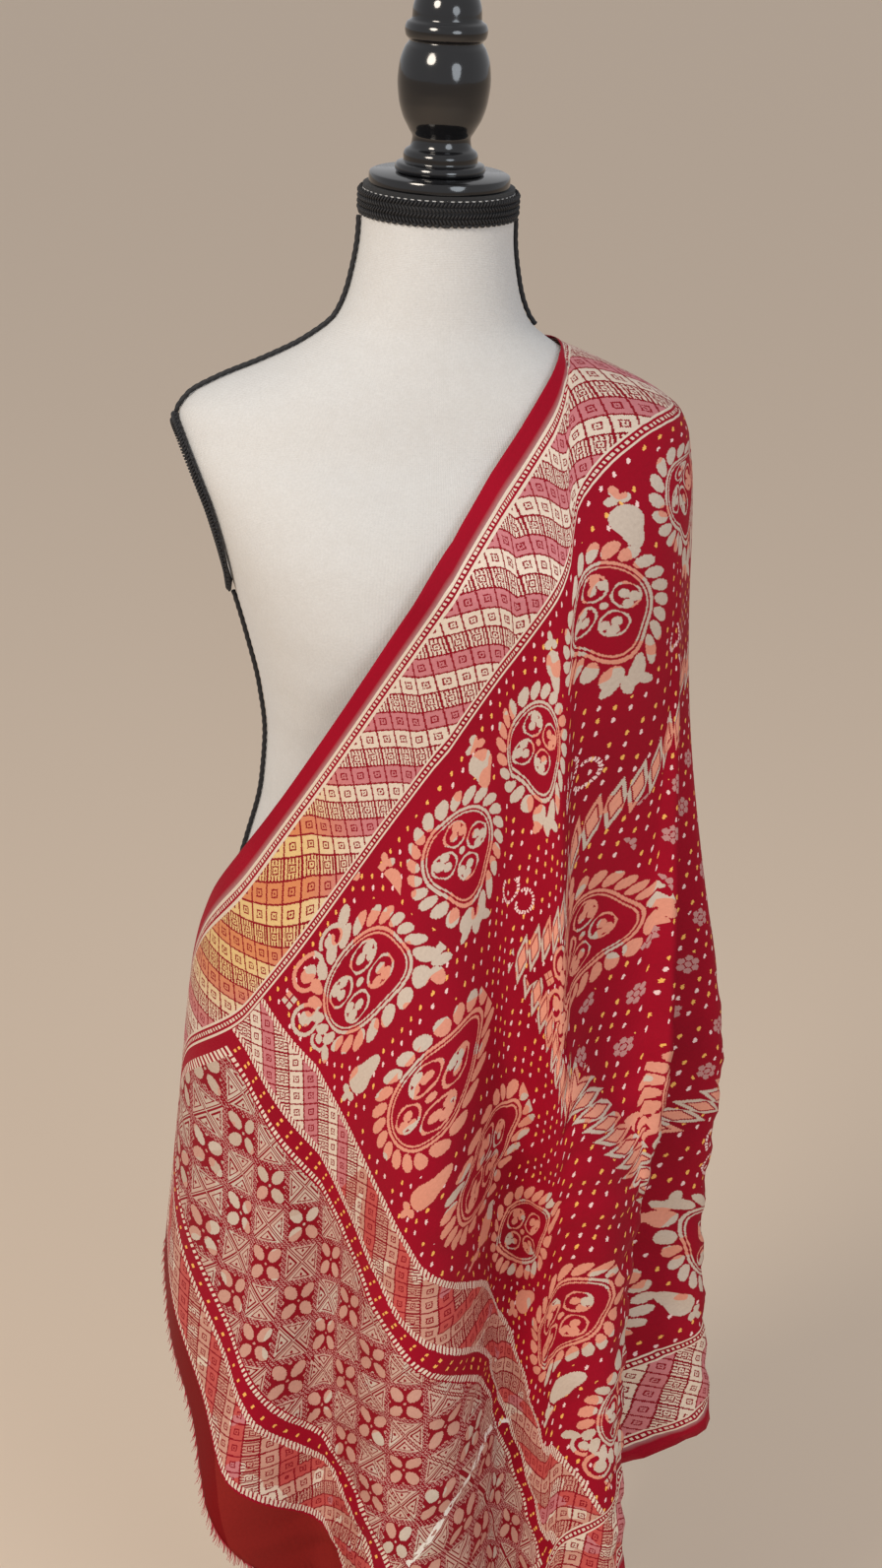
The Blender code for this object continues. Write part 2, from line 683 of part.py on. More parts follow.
def makeFringe(name, atStart, mat):
    """A short frayed fringe past one end of the cloth, on its own narrow backing."""
    s, t = clothPlace(lines, clothEnds)
    edge = -SHOULDER_AT if atStart else CLOTH_LENGTH - SHOULDER_AT
    here = (np.abs(s - edge) < 2e-4) & (clothEnds > 0.02)
    fineT = t[here]
    fineP = clothMid[here, ROWS]
    inside = clothMid[here, ROWS - 1]
    order = np.argsort(fineT)
    fineP, inside = fineP[order], inside[order]
    own = np.arange(len(fineP), dtype=float)
    at = np.concatenate([[0.3], np.arange(2, 2 * len(fineP) - 3) / 2, [len(fineP) - 1.3]])
    cells = len(at) - 1
    mid = np.stack([np.interp(at, own, fineP[:, k]) for k in range(3)], 1)
    inner = np.stack([np.interp(at, own, inside[:, k]) for k in range(3)], 1)
    along = np.gradient(mid, axis=0)
    along = along / np.linalg.norm(along, axis=1, keepdims=True)
    down = mid - inner
    down = down / np.maximum(np.linalg.norm(down, axis=1, keepdims=True), 1e-9)
    side = np.cross(along, down)
    slant = np.linalg.norm(side, axis=1, keepdims=True)
    side = side / np.maximum(slant, 1e-9)
    slant = np.clip(slant, 0.4, 1.0)
    half = CLOTH_THICK * 0.35
    top = mid + down * FRINGE_GAP / slant
    low = top + down * FRINGE_BACKING / slant
    n = cells + 1
    points = [*(top + side * half), *(top - side * half), *(low + side * half), *(low - side * half)]
    faces = [[0, 2 * n, 3 * n, n], [n - 1, 2 * n - 1, 4 * n - 1, 3 * n - 1]]
    for i in range(cells):
        faces.append([i, n + i, n + i + 1, i + 1])
        faces.append([i, i + 1, 2 * n + i + 1, 2 * n + i])
        faces.append([n + i + 1, n + i, 3 * n + i, 3 * n + i + 1])
        ring = [2 * n + i, 2 * n + i + 1, 3 * n + i + 1, 3 * n + i]
        if i % 2 == 1:
            faces.append(ring)
            continue
        long = FRINGE_LENGTH * (0.75 + 0.25 * math.sin(1.7 * i) ** 2)
        fall = (down[i] + down[i + 1]) / 2
        centre = (points[ring[0]] + points[ring[2]]) / 2 + fall * long
        lean = 0.0012 * math.sin(2.3 * i)
        base = len(points)
        for v in ring:
            spread = (np.array(points[v]) - (points[ring[0]] + points[ring[2]]) / 2) * 0.3
            points.append(centre + spread + along[i] * lean)
        for k in range(4):
            m = (k + 1) % 4
            faces.append([ring[k], ring[m], base + m, base + k])
        faces.append([base, base + 1, base + 2, base + 3])
    return makeObject(name, points, faces, mat)


clothMat = makeMaterial("red georgette", (0.42, 0.006, 0.02), 0.6)
fringeMat = makeMaterial("red fringe threads", (0.42, 0.01, 0.02), 0.7)
linenMat = makeMaterial("white linen", (0.72, 0.70, 0.66), 0.85)
braidMat = makeMaterial("black braid", (0.012, 0.012, 0.013), 0.7)
lacquerMat = makeMaterial("black lacquered wood", (0.008, 0.008, 0.009), 0.15)
paintMat = makeMaterial("black painted metal", (0.012, 0.012, 0.013), 0.35, 0.2)

lines = chosenLines(COLUMNS)
clothMid, clothOwner, clothEnds = clothGrid(lines, ROWS)
clothPoints, clothFaces = thickSheet(clothMid, clothOwner, CLOTH_THICK)
makeObject("cloth", clothPoints, clothFaces, clothMat)
makeFringe("front_fringe", True, fringeMat)
makeFringe("back_fringe", False, fringeMat)

makeTorso(linenMat)
braidLow = NECK_TOP - BRAID_TALL - 0.002
makeBand("neck_braid", braidLow, NECK_TOP - 0.002, 0.0008, BRAID_THICK, braidMat)
cordClear = CORD_RADIUS + 0.0001
cordHigh = braidLow - 0.003
makeCord("armhole_braid", armholePath(-1, 0.0052), 0.0038, 6, braidMat, True)
makeCord("side_cord", sidePath(-1, 0.750, 1.243, cordClear), CORD_RADIUS, 6, braidMat)
makeCord("left_shoulder_cord", sidePath(-1, 1.400, cordHigh, cordClear), CORD_RADIUS, 6, braidMat)
makeCord("right_shoulder_cord", sidePath(1, 1.475, cordHigh, cordClear), CORD_RADIUS, 6, braidMat)

discLow = NECK_TOP + GAP
discProfile = (
    (0.0, 0.0),
    (DISC_RADIUS - 0.001, 0.0),
    (DISC_RADIUS, 0.0012),
    (DISC_RADIUS, DISC_TALL - 0.0015),
    (DISC_RADIUS - 0.0015, DISC_TALL),
    (0.0, DISC_TALL),
)
makeTurned("neck_disc", discProfile, discLow, 40, lacquerMat)
makeTurned("knob", KNOB, discLow + DISC_TALL + GAP, 24, lacquerMat)
collarLow = TORSO_BOTTOM - GAP - COLLAR_TALL
collarProfile = ((0.0, 0.0), (0.024, 0.0), (0.032, 0.010), (0.045, COLLAR_TALL), (0.0, COLLAR_TALL))
makeTurned("collar", collarProfile, collarLow, 24, paintMat)
poleLow = BASE_TALL + GAP
poleTall = collarLow - GAP - poleLow
poleProfile = ((0.0, 0.0), (POLE_RADIUS, 0.0), (POLE_RADIUS, poleTall), (0.0, poleTall))
makeTurned("pole", poleProfile, poleLow, 20, paintMat)
makeTurned("base", BASE, 0.0, 40, paintMat)
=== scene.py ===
import bpy
import bmesh
import json
import math
import numpy as np
from mathutils import Matrix, Vector

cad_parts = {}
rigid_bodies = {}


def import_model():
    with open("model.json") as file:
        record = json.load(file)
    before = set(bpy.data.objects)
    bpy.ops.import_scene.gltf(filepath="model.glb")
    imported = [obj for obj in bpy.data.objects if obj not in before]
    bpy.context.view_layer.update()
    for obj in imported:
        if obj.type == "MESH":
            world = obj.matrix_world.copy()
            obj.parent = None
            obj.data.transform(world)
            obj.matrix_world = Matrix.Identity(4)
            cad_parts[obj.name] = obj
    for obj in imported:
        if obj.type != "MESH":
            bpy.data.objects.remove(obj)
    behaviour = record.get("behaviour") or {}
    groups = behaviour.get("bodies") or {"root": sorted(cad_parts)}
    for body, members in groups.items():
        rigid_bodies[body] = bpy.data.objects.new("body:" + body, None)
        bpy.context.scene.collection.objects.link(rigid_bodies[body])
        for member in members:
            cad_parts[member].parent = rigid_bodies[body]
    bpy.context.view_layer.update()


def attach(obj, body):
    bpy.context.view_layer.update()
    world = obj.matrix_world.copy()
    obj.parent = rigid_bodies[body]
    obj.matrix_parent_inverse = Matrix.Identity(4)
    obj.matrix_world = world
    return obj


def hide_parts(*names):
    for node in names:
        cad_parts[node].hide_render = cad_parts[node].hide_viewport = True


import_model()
scene = bpy.context.scene
print("frame loaded")


def linked(name, data):      # a new object in the scene
    obj = bpy.data.objects.new(name, data)
    scene.collection.objects.link(obj)
    return obj


# the view of the photograph
cameraValues = {
    "place": (-0.25991, -1.79443, 1.861),
    "turn": -9.0,     # degrees round the form
    "down": 23.15,    # degrees below level
    "roll": 3.0,
    "lens": 56.53,    # mm, on a sensor 36 mm tall
}


def addCamera():
    turn = math.radians(cameraValues["turn"])
    down = math.radians(cameraValues["down"])
    roll = math.radians(cameraValues["roll"])
    ahead = Vector((-math.sin(turn) * math.cos(down), math.cos(turn) * math.cos(down), -math.sin(down)))
    right = Vector((math.cos(turn), math.sin(turn), 0.0))
    up = right.cross(ahead)
    tiltedRight = right * math.cos(roll) + up * math.sin(roll)
    tiltedUp = up * math.cos(roll) - right * math.sin(roll)
    data = bpy.data.cameras.new("studioCamera")
    data.sensor_fit = "VERTICAL"
    data.sensor_height = 36.0
    data.lens = cameraValues["lens"]
    data.clip_start = 0.05
    data.dof.use_dof = False
    camera = linked("studioCamera", data)
    camera.matrix_world = Matrix((
        (tiltedRight.x, tiltedUp.x, -ahead.x, cameraValues["place"][0]),
        (tiltedRight.y, tiltedUp.y, -ahead.y, cameraValues["place"][1]),
        (tiltedRight.z, tiltedUp.z, -ahead.z, cameraValues["place"][2]),
        (0.0, 0.0, 0.0, 1.0),
    ))
    scene.camera = camera


addCamera()
print("camera set")

# the cloth's fall, in metres
clothValues = {
    "width": 0.92,
    "length": 1.96,
    "shoulderAt": 0.885,
    "stretch": 1.02,
    "bend": 0.24,             # length over which the threads turn to their low angle
    "clear": 0.0025,          # from the envelope to the cloth
    "maxWave": 0.055,
    "fullness": 0.86,         # share of the spare cloth that goes into the main folds
    "waveShape": 0.66,
    "steepest": 2.4,
    "columns": 340,
    "rows": 118,
    "thick": 0.0008,
}
rippleValues = {
    "apart": 0.046,           # from one small fold to the next
    "behind": (14.1, 17.8),   # fall lines between which the back's ripples lie
    "before": (2.6, 13.4),
    "deepBehind": 0.0050,
    "fineBehind": 0.0011,
    "deepBefore": 0.0016,
    "fineBefore": 0.0007,
}
shoulderAt = clothValues["shoulderAt"]

# cross sections of the form: height, half width, front, back, power
formRows = (
    (0.720, 0.150, 0.104, 0.108, 2.2),
    (0.745, 0.160, 0.113, 0.118, 2.2),
    (0.800, 0.164, 0.120, 0.128, 2.2),
    (0.860, 0.163, 0.121, 0.132, 2.2),
    (0.920, 0.157, 0.118, 0.128, 2.2),
    (0.980, 0.145, 0.111, 0.116, 2.2),
    (1.040, 0.129, 0.102, 0.101, 2.2),
    (1.090, 0.118, 0.098, 0.092, 2.2),
    (1.130, 0.116, 0.099, 0.089, 2.2),
    (1.170, 0.121, 0.108, 0.091, 2.2),
    (1.210, 0.131, 0.121, 0.096, 2.2),
    (1.250, 0.143, 0.127, 0.101, 2.3),
    (1.290, 0.157, 0.124, 0.104, 2.4),
    (1.325, 0.171, 0.113, 0.103, 2.4),
    (1.352, 0.182, 0.098, 0.098, 2.4),
    (1.372, 0.187, 0.085, 0.090, 2.3),
    (1.386, 0.187, 0.080, 0.086, 2.2),
    (1.400, 0.179, 0.076, 0.082, 2.1),
    (1.413, 0.157, 0.073, 0.078, 2.0),
    (1.427, 0.1245, 0.068, 0.072, 2.0),
    (1.443, 0.0935, 0.0625, 0.0655, 2.0),
    (1.462, 0.071, 0.056, 0.058, 2.0),
    (1.490, 0.061, 0.053, 0.055, 2.0),
    (1.525, 0.056, 0.051, 0.052, 2.0),
    (1.558, 0.0555, 0.051, 0.052, 2.0),
)

# space that the shawl hangs round: height, left, right, front, back, power
envelopeRows = (
    (0.020, 0.170, 0.262, 0.165, 0.225, 2.3),
    (0.300, 0.172, 0.258, 0.165, 0.225, 2.3),
    (0.450, 0.184, 0.246, 0.160, 0.215, 2.3),
    (0.600, 0.190, 0.230, 0.152, 0.200, 2.3),
    (0.750, 0.182, 0.220, 0.146, 0.185, 2.3),
    (0.900, 0.172, 0.215, 0.141, 0.170, 2.3),
    (1.000, 0.158, 0.212, 0.138, 0.155, 2.3),
    (1.100, 0.142, 0.210, 0.137, 0.140, 2.3),
    (1.200, 0.146, 0.208, 0.137, 0.125, 2.3),
    (1.280, 0.163, 0.205, 0.136, 0.116, 2.3),
    (1.340, 0.186, 0.202, 0.113, 0.109, 2.4),
    (1.375, 0.196, 0.198, 0.090, 0.095, 2.3),
    (1.392, 0.192, 0.192, 0.083, 0.089, 2.2),
    (1.407, 0.175, 0.173, 0.078, 0.084, 2.1),
    (1.427, 0.134, 0.132, 0.072, 0.077, 2.0),
    (1.444, 0.096, 0.094, 0.066, 0.070, 2.0),
    (1.466, 0.080, 0.080, 0.062, 0.065, 2.0),
)

# how a fall line is led at its top
front, back, around = 0, 1, 2
# fall lines of the shawl, in order from its front end round to its back end:
# name, s from the shoulder, t, angle at the top, angle low down, x or place at the top,
# height at the top, how it is led, place low down, fold phase, overlap
foldRows = (
    ("front end", -0.885, 0.00, 46, 46, -122, 0.765, around, -122, -2.0, 0.0),
    ("left back", -0.762, 0.00, 46, 46, -106, 0.860, around, -106, -1.0, 0.0),
    ("left hip", -0.632, 0.00, 45, 46, -90, 0.970, around, -88, 0.0, 0.0),
    ("corner", -0.520, 0.00, 43, 54, -0.136, 1.058, front, -45, 0.3, 0.0),
    ("left valley", -0.403, 0.00, 38, 58, -0.090, 1.160, front, -19, 1.0, 0.0),
    ("front crest", -0.243, 0.00, 34, 60, -0.018, 1.294, front, 2, 2.0, 0.0),
    ("mid valley", -0.112, 0.00, 32, 60, 0.050, 1.390, front, 18, 3.0, 0.0),
    ("near neck", -0.060, 0.00, 31, 60, 0.0765, 1.426, front, 23, 3.3, 0.0),
    ("neck side", 0.000, 0.00, 31, 60, 0.094, 1.444, front, 27, 3.5, 0.2),
    ("shoulder tip", 0.000, 0.12, 34, 60, 62, 1.392, around, 35, 4.2, 0.4),
    ("pleat edge", 0.000, 0.12, 42, 61, 66, 1.392, around, 40, 4.5, 0.8),
    ("pleat valley", 0.000, 0.12, 51, 63, 71, 1.392, around, 45, 5.0, 0.7),
    ("right crest", 0.000, 0.12, 62, 67, 78, 1.392, around, 64, 6.0, 0.2),
    ("right side", 0.000, 0.12, 75, 78, 85, 1.392, around, 87, 7.0, 0.0),
    ("arm side", 0.000, 0.12, 90, 93, 92, 1.392, around, 105, 8.0, 0.0),
    ("back right", 0.000, 0.12, 106, 112, 100, 1.392, around, 122, 9.0, 0.0),
    ("back crest", 0.000, 0.12, 126, 134, 110, 1.392, around, 139, 10.1, 0.0),
    ("back tip", 0.000, 0.12, 150, 154, 120, 1.392, around, 155, 11.3, 0.0),
    ("back neck", 0.000, 0.00, 158, 160, 0.094, 1.444, back, 165, 12.1, 0.0),
    ("back near neck", 0.062, 0.00, 159, 160, 0.080, 1.425, back, 167, 12.3, 0.0),
    ("back shoulder", 0.132, 0.00, 160, 161, 0.062, 1.368, back, 171, 12.6, 0.0),
    ("back upper", 0.264, 0.00, 162, 161, 0.042, 1.240, back, 178, 13.0, 0.0),
    ("back mid", 0.447, 0.00, 165, 162, 0.020, 1.060, back, 187, 13.6, 0.0),
    ("back low", 0.794, 0.00, 166, 164, -0.065, 0.725, back, 204, 14.6, 0.0),
    ("back end", 1.075, 0.00, 166, 166, -0.105, 0.465, back, 219, 15.6, 0.0),
)
neckRow, tipRow, backTipRow, backNeckRow = 8, 9, 17, 18


def curveThrough(x, xs, ys):
    xs = np.asarray(xs, float)
    ys = np.asarray(ys, float)
    flat = (-1,) + (1,) * (ys.ndim - 1)
    gap = np.diff(xs)
    rise = np.diff(ys, axis=0) / gap.reshape(flat)
    slope = np.zeros_like(ys)
    w1 = (2 * gap[1:] + gap[:-1]).reshape(flat)
    w2 = (gap[1:] + 2 * gap[:-1]).reshape(flat)
    same = rise[1:] * rise[:-1] > 0
    safe0 = np.where(same, rise[:-1], 1.0)
    safe1 = np.where(same, rise[1:], 1.0)
    slope[1:-1] = np.where(same, (w1 + w2) / (w1 / safe0 + w2 / safe1), 0.0)
    slope[0] = rise[0]
    slope[-1] = rise[-1]
    x = np.clip(x, xs[0], xs[-1])
    i = np.clip(np.searchsorted(xs, x, side="right") - 1, 0, len(xs) - 2)
    shape = x.shape + (1,) * (ys.ndim - 1)
    wide = gap[i].reshape(shape)
    q = ((x - xs[i]) / gap[i]).reshape(shape)
    return (
        (1 + 2 * q) * (1 - q) ** 2 * ys[i]
        + q * (1 - q) ** 2 * wide * slope[i]
        + q * q * (3 - 2 * q) * ys[i + 1]
        + q * q * (q - 1) * wide * slope[i + 1]
    )


def ease(q):
    q = np.clip(q, 0.0, 1.0)
    return q * q * (3 - 2 * q)


foldTable = np.array([row[1:] for row in foldRows], float)
foldCount = len(foldRows)
foldIndex = np.arange(foldCount, dtype=float)


def finerRows(parts):
    rows = [foldTable[0]]
    at = [0.0]
    led = foldTable[:, 6]
    for k in range(foldCount - 1):
        if led[k] == led[k + 1]:
            first = k
            while first > 0 and led[first - 1] == led[k]:
                first -= 1
            last = k + 1
            while last < foldCount - 1 and led[last + 1] == led[k]:
                last += 1
            between = k + np.arange(1, parts) / parts
            group = slice(first, last + 1)
            if last - first > 1:
                more = curveThrough(between, foldIndex[group], foldTable[group])
            else:
                share = (between - k)[:, None]
                more = foldTable[k] * (1 - share) + foldTable[k + 1] * share
            rows.extend(more)
            at.extend(between)
        rows.append(foldTable[k + 1])
        at.append(float(k + 1))
    return np.array(rows), np.array(at)


fineTable, fineIndex = finerRows(5)
envelopeTable = np.array(envelopeRows)
formTable = np.array(formRows)
steps = 140
lengths = np.linspace(0.0, 1.45, steps + 1)


def envelopeSize(height):
    size = curveThrough(height.ravel(), envelopeTable[:, 0], envelopeTable[:, 1:])
    return size.reshape(height.shape + (5,))


def envelopePoint(place, height):
    size = envelopeSize(height)
    c = np.cos(np.radians(place))
    s = np.sin(np.radians(place))
    half = np.where(s > 0, size[..., 1], size[..., 0])
    deep = np.where(c > 0, size[..., 2], size[..., 3])
    power = 2.0 / size[..., 4]
    x = half * np.sign(s) * np.abs(s) ** power
    y = -deep * np.sign(c) * np.abs(c) ** power
    return np.stack([x, y, height], -1)


def envelopeOut(place, height):
    turned = envelopePoint(place + 0.4, height) - envelopePoint(place - 0.4, height)
    raised = envelopePoint(place, height + 0.004) - envelopePoint(place, height - 0.004)
    out = np.cross(turned, raised)
    return out / np.maximum(np.linalg.norm(out, axis=-1, keepdims=True), 1e-12)


def tracedLines():
    topAt = fineTable[:, 5][:, None]
    led = np.round(fineTable[:, 6])[:, None]
    lowAt = fineTable[:, 7][:, None]
    given = fineTable[:, 4][:, None]
    z = topAt - (topAt + 0.10) * np.linspace(0, 1, steps + 1)[None] ** 1.5
    zIn = np.maximum(z, 0.02)
    size = envelopeSize(zIn)
    half = np.where(given > 0, size[..., 1], size[..., 0])
    share = np.clip(np.abs(given) / half, 0, 1)
    plane = np.degrees(np.arcsin(share ** (size[..., 4] / 2))) * np.sign(given)
    fan = (fineTable[:, 1] > 0.1)[:, None] & (led == around)
    spread = np.where(fan, 90 + (given - 90) * ease((topAt - z) / 0.045), given)
    top = np.where(led == front, plane, np.where(led == back, 180 - plane, spread))
    blend = ease((topAt - z) / np.maximum(topAt - 0.50, 0.35))
    place = top + (lowAt - top) * blend
    point = envelopePoint(place, zIn)
    point[..., 2] = z
    run = np.linalg.norm(np.diff(point, axis=1), axis=2)
    count = len(fineIndex)
    run = np.concatenate([np.zeros((count, 1)), np.cumsum(run, 1)], 1) / clothValues["stretch"]
    heights = np.stack([np.interp(lengths, run[i], z[i]) for i in range(count)])
    places = np.stack([np.interp(lengths, run[i], place[i]) for i in range(count)])
    return heights, places


def threadAngle(line, length):
    top = curveThrough(line, foldIndex, foldTable[:, 2])
    low = curveThrough(line, foldIndex, foldTable[:, 3])
    return np.radians(low + (top - low) * np.exp(-((length / clothValues["bend"]) ** 2)))


def clothPlace(line, length):
    s = np.interp(line, foldIndex, foldTable[:, 0])
    t = np.interp(line, foldIndex, foldTable[:, 1])
    parts = 24
    for j in range(parts):
        angle = threadAngle(line, (j + 0.5) / parts * length)
        s = s - np.cos(angle) * length / parts
        t = t + np.sin(angle) * length / parts
    return s, t


def lineEnds(line):
    down = np.linspace(0, 1.5, 301)
    grid, length = np.meshgrid(line, down, indexing="ij")
    s, t = clothPlace(grid, length)
    past = np.stack([t - clothValues["width"], -s - shoulderAt, s - (clothValues["length"] - shoulderAt)])
    past[:, :, 0] = np.minimum(past[:, :, 0], 0)
    ends = np.zeros(len(line))
    for i in range(len(line)):
        first = int(np.argmax((past[:, i] > 1e-9).any(0)))
        if first == 0:
            continue
        share = 1.0
        for k in range(3):
            a = past[k, i, first - 1]
            b = past[k, i, first]
            if b > 0 and b > a:
                share = min(share, max(-a, 0.0) / (b - a))
        ends[i] = down[first - 1] + share * (down[first] - down[first - 1])
    return ends


def evenOut(values, kernel):
    pad = len(kernel) // 2
    wide = np.pad(values, ((pad, pad), (0, 0)), mode="edge")
    cols = [np.convolve(wide[:, j], kernel, mode="valid") for j in range(values.shape[1])]
    return np.stack(cols, 1)


def drapedTable(count=900):
    heights, places = tracedLines()
    line = np.linspace(0, foldCount - 1, count)
    z = curveThrough(line, fineIndex, heights)
    place = curveThrough(line, fineIndex, places)
    grid, length = np.meshgrid(line, lengths, indexing="ij")
    point = envelopePoint(place, np.maximum(z, 0.02))
    out = envelopeOut(place, np.maximum(z, 0.03))
    point[..., 2] = z
    s, t = clothPlace(grid, length)
    along = np.gradient(point, line, axis=0)
    along[..., 2] = 0
    wide = np.linalg.norm(along, axis=-1)
    side = np.stack([-out[..., 1], out[..., 0], np.zeros_like(z)], -1)
    side = side / np.maximum(np.linalg.norm(side, axis=-1, keepdims=True), 1e-9)
    angle = threadAngle(grid, length)
    cloth = np.abs(
        np.gradient(s, line, axis=0) * np.sin(angle)
        + np.gradient(t, line, axis=0) * np.cos(angle)
    )
    kernel = np.hanning(61)
    kernel = kernel / kernel.sum()
    excess = clothValues["fullness"] * evenOut(cloth, kernel) / np.maximum(evenOut(wide, kernel), 1e-6)
    phase = curveThrough(line, foldIndex, foldTable[:, 8])
    overlap = curveThrough(line, foldIndex, foldTable[:, 9])
    turn = np.gradient(phase, line) * np.pi
    wave = wide / np.maximum(turn[:, None], 1e-3)
    slack = np.sqrt(np.maximum(excess**2 - 1, 0)) / clothValues["waveShape"]
    rise = wave * np.minimum(slack, clothValues["steepest"])
    rise = evenOut(np.minimum(rise, clothValues["maxWave"]), kernel) * ease((length - 0.10) / 0.45)
    swing = phase[:, None] * np.pi
    lift = 0.4 + 0.6 * ease((z - 0.7) / 0.2)
    level = (rise * (np.cos(swing) + lift) + clothValues["clear"])[..., None]
    slide = (overlap[:, None] * rise * np.cos(swing))[..., None]
    return line, point + out * level + side * slide, z[:, 0]


tableLine, tablePoint, tableTop = drapedTable()


def drapedPoint(line, length):      # the place on the drape of a fall line and a length down it
    u = np.interp(line, tableLine, np.arange(len(tableLine)))
    v = length / (lengths[1] - lengths[0])
    i = np.clip(u.astype(int), 0, tablePoint.shape[0] - 2)
    j = np.clip(v.astype(int), 0, tablePoint.shape[1] - 2)
    f = (u - i)[..., None]
    g = (v - j)[..., None]
    return (
        tablePoint[i, j] * (1 - f) * (1 - g)
        + tablePoint[i + 1, j] * f * (1 - g)
        + tablePoint[i, j + 1] * (1 - f) * g
        + tablePoint[i + 1, j + 1] * f * g
    )


def backTwin(line):      # the back line that lies on the same place of the shoulder ridge
    ridge = (tableLine >= backTipRow) & (tableLine <= backNeckRow)
    height = np.interp(line, tableLine, tableTop)
    return float(np.interp(height, tableTop[ridge], tableLine[ridge]))


print("cloth fall worked out")


def clothLines(count):
    fine = np.linspace(0, foldCount - 1, 2400)
    ends = lineEnds(fine)
    reach = np.zeros(len(fine) - 1)
    for q in (0.35, 0.7, 1.0):
        p = drapedPoint(fine, ends * q)
        reach = np.maximum(reach, np.linalg.norm(np.diff(p, axis=0), axis=1))
    run = np.concatenate([[0], np.cumsum(reach)])
    s, t = clothPlace(fine, ends)
    kept = [0, neckRow, tipRow, backTipRow, backNeckRow, foldCount - 1]
    for cutEnd in (-shoulderAt, clothValues["length"] - shoulderAt):
        away = np.abs(s - cutEnd) + np.abs(t - clothValues["width"])
        kept.append(fine[int(np.argmin(away))])
    kept = sorted(kept)
    lines = []
    for a, b in zip(kept[:-1], kept[1:]):
        ra, rb = np.interp([a, b], fine, run)
        if a == neckRow:
            part = np.linspace(a, b, 17)
        elif a == backTipRow:
            part = np.array([backTwin(v) for v in np.linspace(tipRow, neckRow, 17)])
        else:
            n = max(int(round((rb - ra) / run[-1] * count)), 3)
            part = np.interp(np.linspace(ra, rb, n + 1), run, fine)
            part[0], part[-1] = a, b
        lines.extend(part[:-1])
    lines.append(kept[-1])
    return np.array(lines)


def rippled(point, s, t, line, length):      # the small soft folds between the main ones
    v = rippleValues
    out = np.cross(np.gradient(point, axis=1), np.gradient(point, axis=0))
    out /= np.maximum(np.linalg.norm(out, axis=2, keepdims=True), 1e-9)
    behind = ease((line - v["behind"][0]) / 1.0) * ease((v["behind"][1] - line) / 0.9)
    hang = ease((length - 0.12) / 0.35)
    width = (s - t) / v["apart"] + 0.35 * np.sin(9.0 * (s + t))
    wave = np.sin(2 * np.pi * width) * v["deepBehind"]
    wave += np.sin(2 * np.pi * (width * 2.3 + 0.3)) * v["fineBehind"]
    before = ease((line - v["before"][0]) / 1.2) * ease((v["before"][1] - line) / 1.0)
    low = ease((length - 0.34) / 0.30)
    soft = np.sin(2 * np.pi * (width * 0.83 + 0.2)) * v["deepBefore"]
    soft += np.sin(2 * np.pi * (width * 2.1 + s * 7)) * v["fineBefore"]
    return point + out * (wave * behind * hang + soft * before * low)[..., None]


def clothSheet():
    lines = clothLines(clothValues["columns"])
    ends = lineEnds(lines)
    rows = clothValues["rows"]
    length = ends[:, None] * np.linspace(0, 1, rows + 1)[None] ** 1.15
    grid = np.repeat(lines[:, None], rows + 1, 1)
    point = drapedPoint(grid, length)
    s, t = clothPlace(grid, length)
    s = s + shoulderAt
    point = rippled(point, s, t, grid, length)
    owner = np.arange(point.shape[0] * point.shape[1]).reshape(point.shape[:2])
    tip = int(np.argmin(np.abs(lines - tipRow)))
    ridge = {round(backTwin(v), 4): i for i, v in enumerate(lines) if neckRow <= v <= tipRow}
    for i, line in enumerate(lines):
        if tipRow < line <= backTipRow:
            owner[i, 0] = owner[tip, 0]
        elif backTipRow < line <= backNeckRow:
            near = min(ridge, key=lambda v: abs(v - line))
            owner[i, 0] = owner[ridge[near], 0]
        if ends[i] < 1e-6:
            owner[i, :] = owner[i, 0]
    used = np.unique(owner)
    number = np.full(owner.size, -1)
    number[used] = np.arange(len(used))
    faces, places = [], []
    for i in range(len(lines) - 1):
        for j in range(rows):
            corners = [(i, j), (i + 1, j), (i + 1, j + 1), (i, j + 1)]
            ring, place = [], []
            for a, b in corners:
                v = int(number[owner[a, b]])
                if v in ring:
                    continue
                ring.append(v)
                place.append((s[a, b], t[a, b]))
            if len(ring) > 2:
                faces.append(ring)
                places.append(place)
    mesh = bpy.data.meshes.new("shawlCloth")
    mesh.from_pydata(point.reshape(-1, 3)[used].tolist(), [], faces)
    uv = mesh.uv_layers.new(name="weave")
    k = 0
    for place in places:
        for pair in place:
            uv.data[k].uv = pair
            k += 1
    for face in mesh.polygons:
        face.use_smooth = True
    obj = linked("shawlCloth", mesh)
    solid = obj.modifiers.new("cloth thickness", "SOLIDIFY")
    solid.thickness = clothValues["thick"]
    solid.offset = 0.0
    return obj


def plainMesh(obj):      # the modifiers' result becomes the object's own mesh
    graph = bpy.context.evaluated_depsgraph_get()
    mesh = bpy.data.meshes.new_from_object(obj.evaluated_get(graph))
    obj.modifiers.clear()
    old = obj.data
    obj.data = mesh
    if old.users == 0:
        bpy.data.batch_remove([old])
    return obj


shawlCloth = plainMesh(clothSheet())
print("cloth made:", len(shawlCloth.data.polygons), "faces")


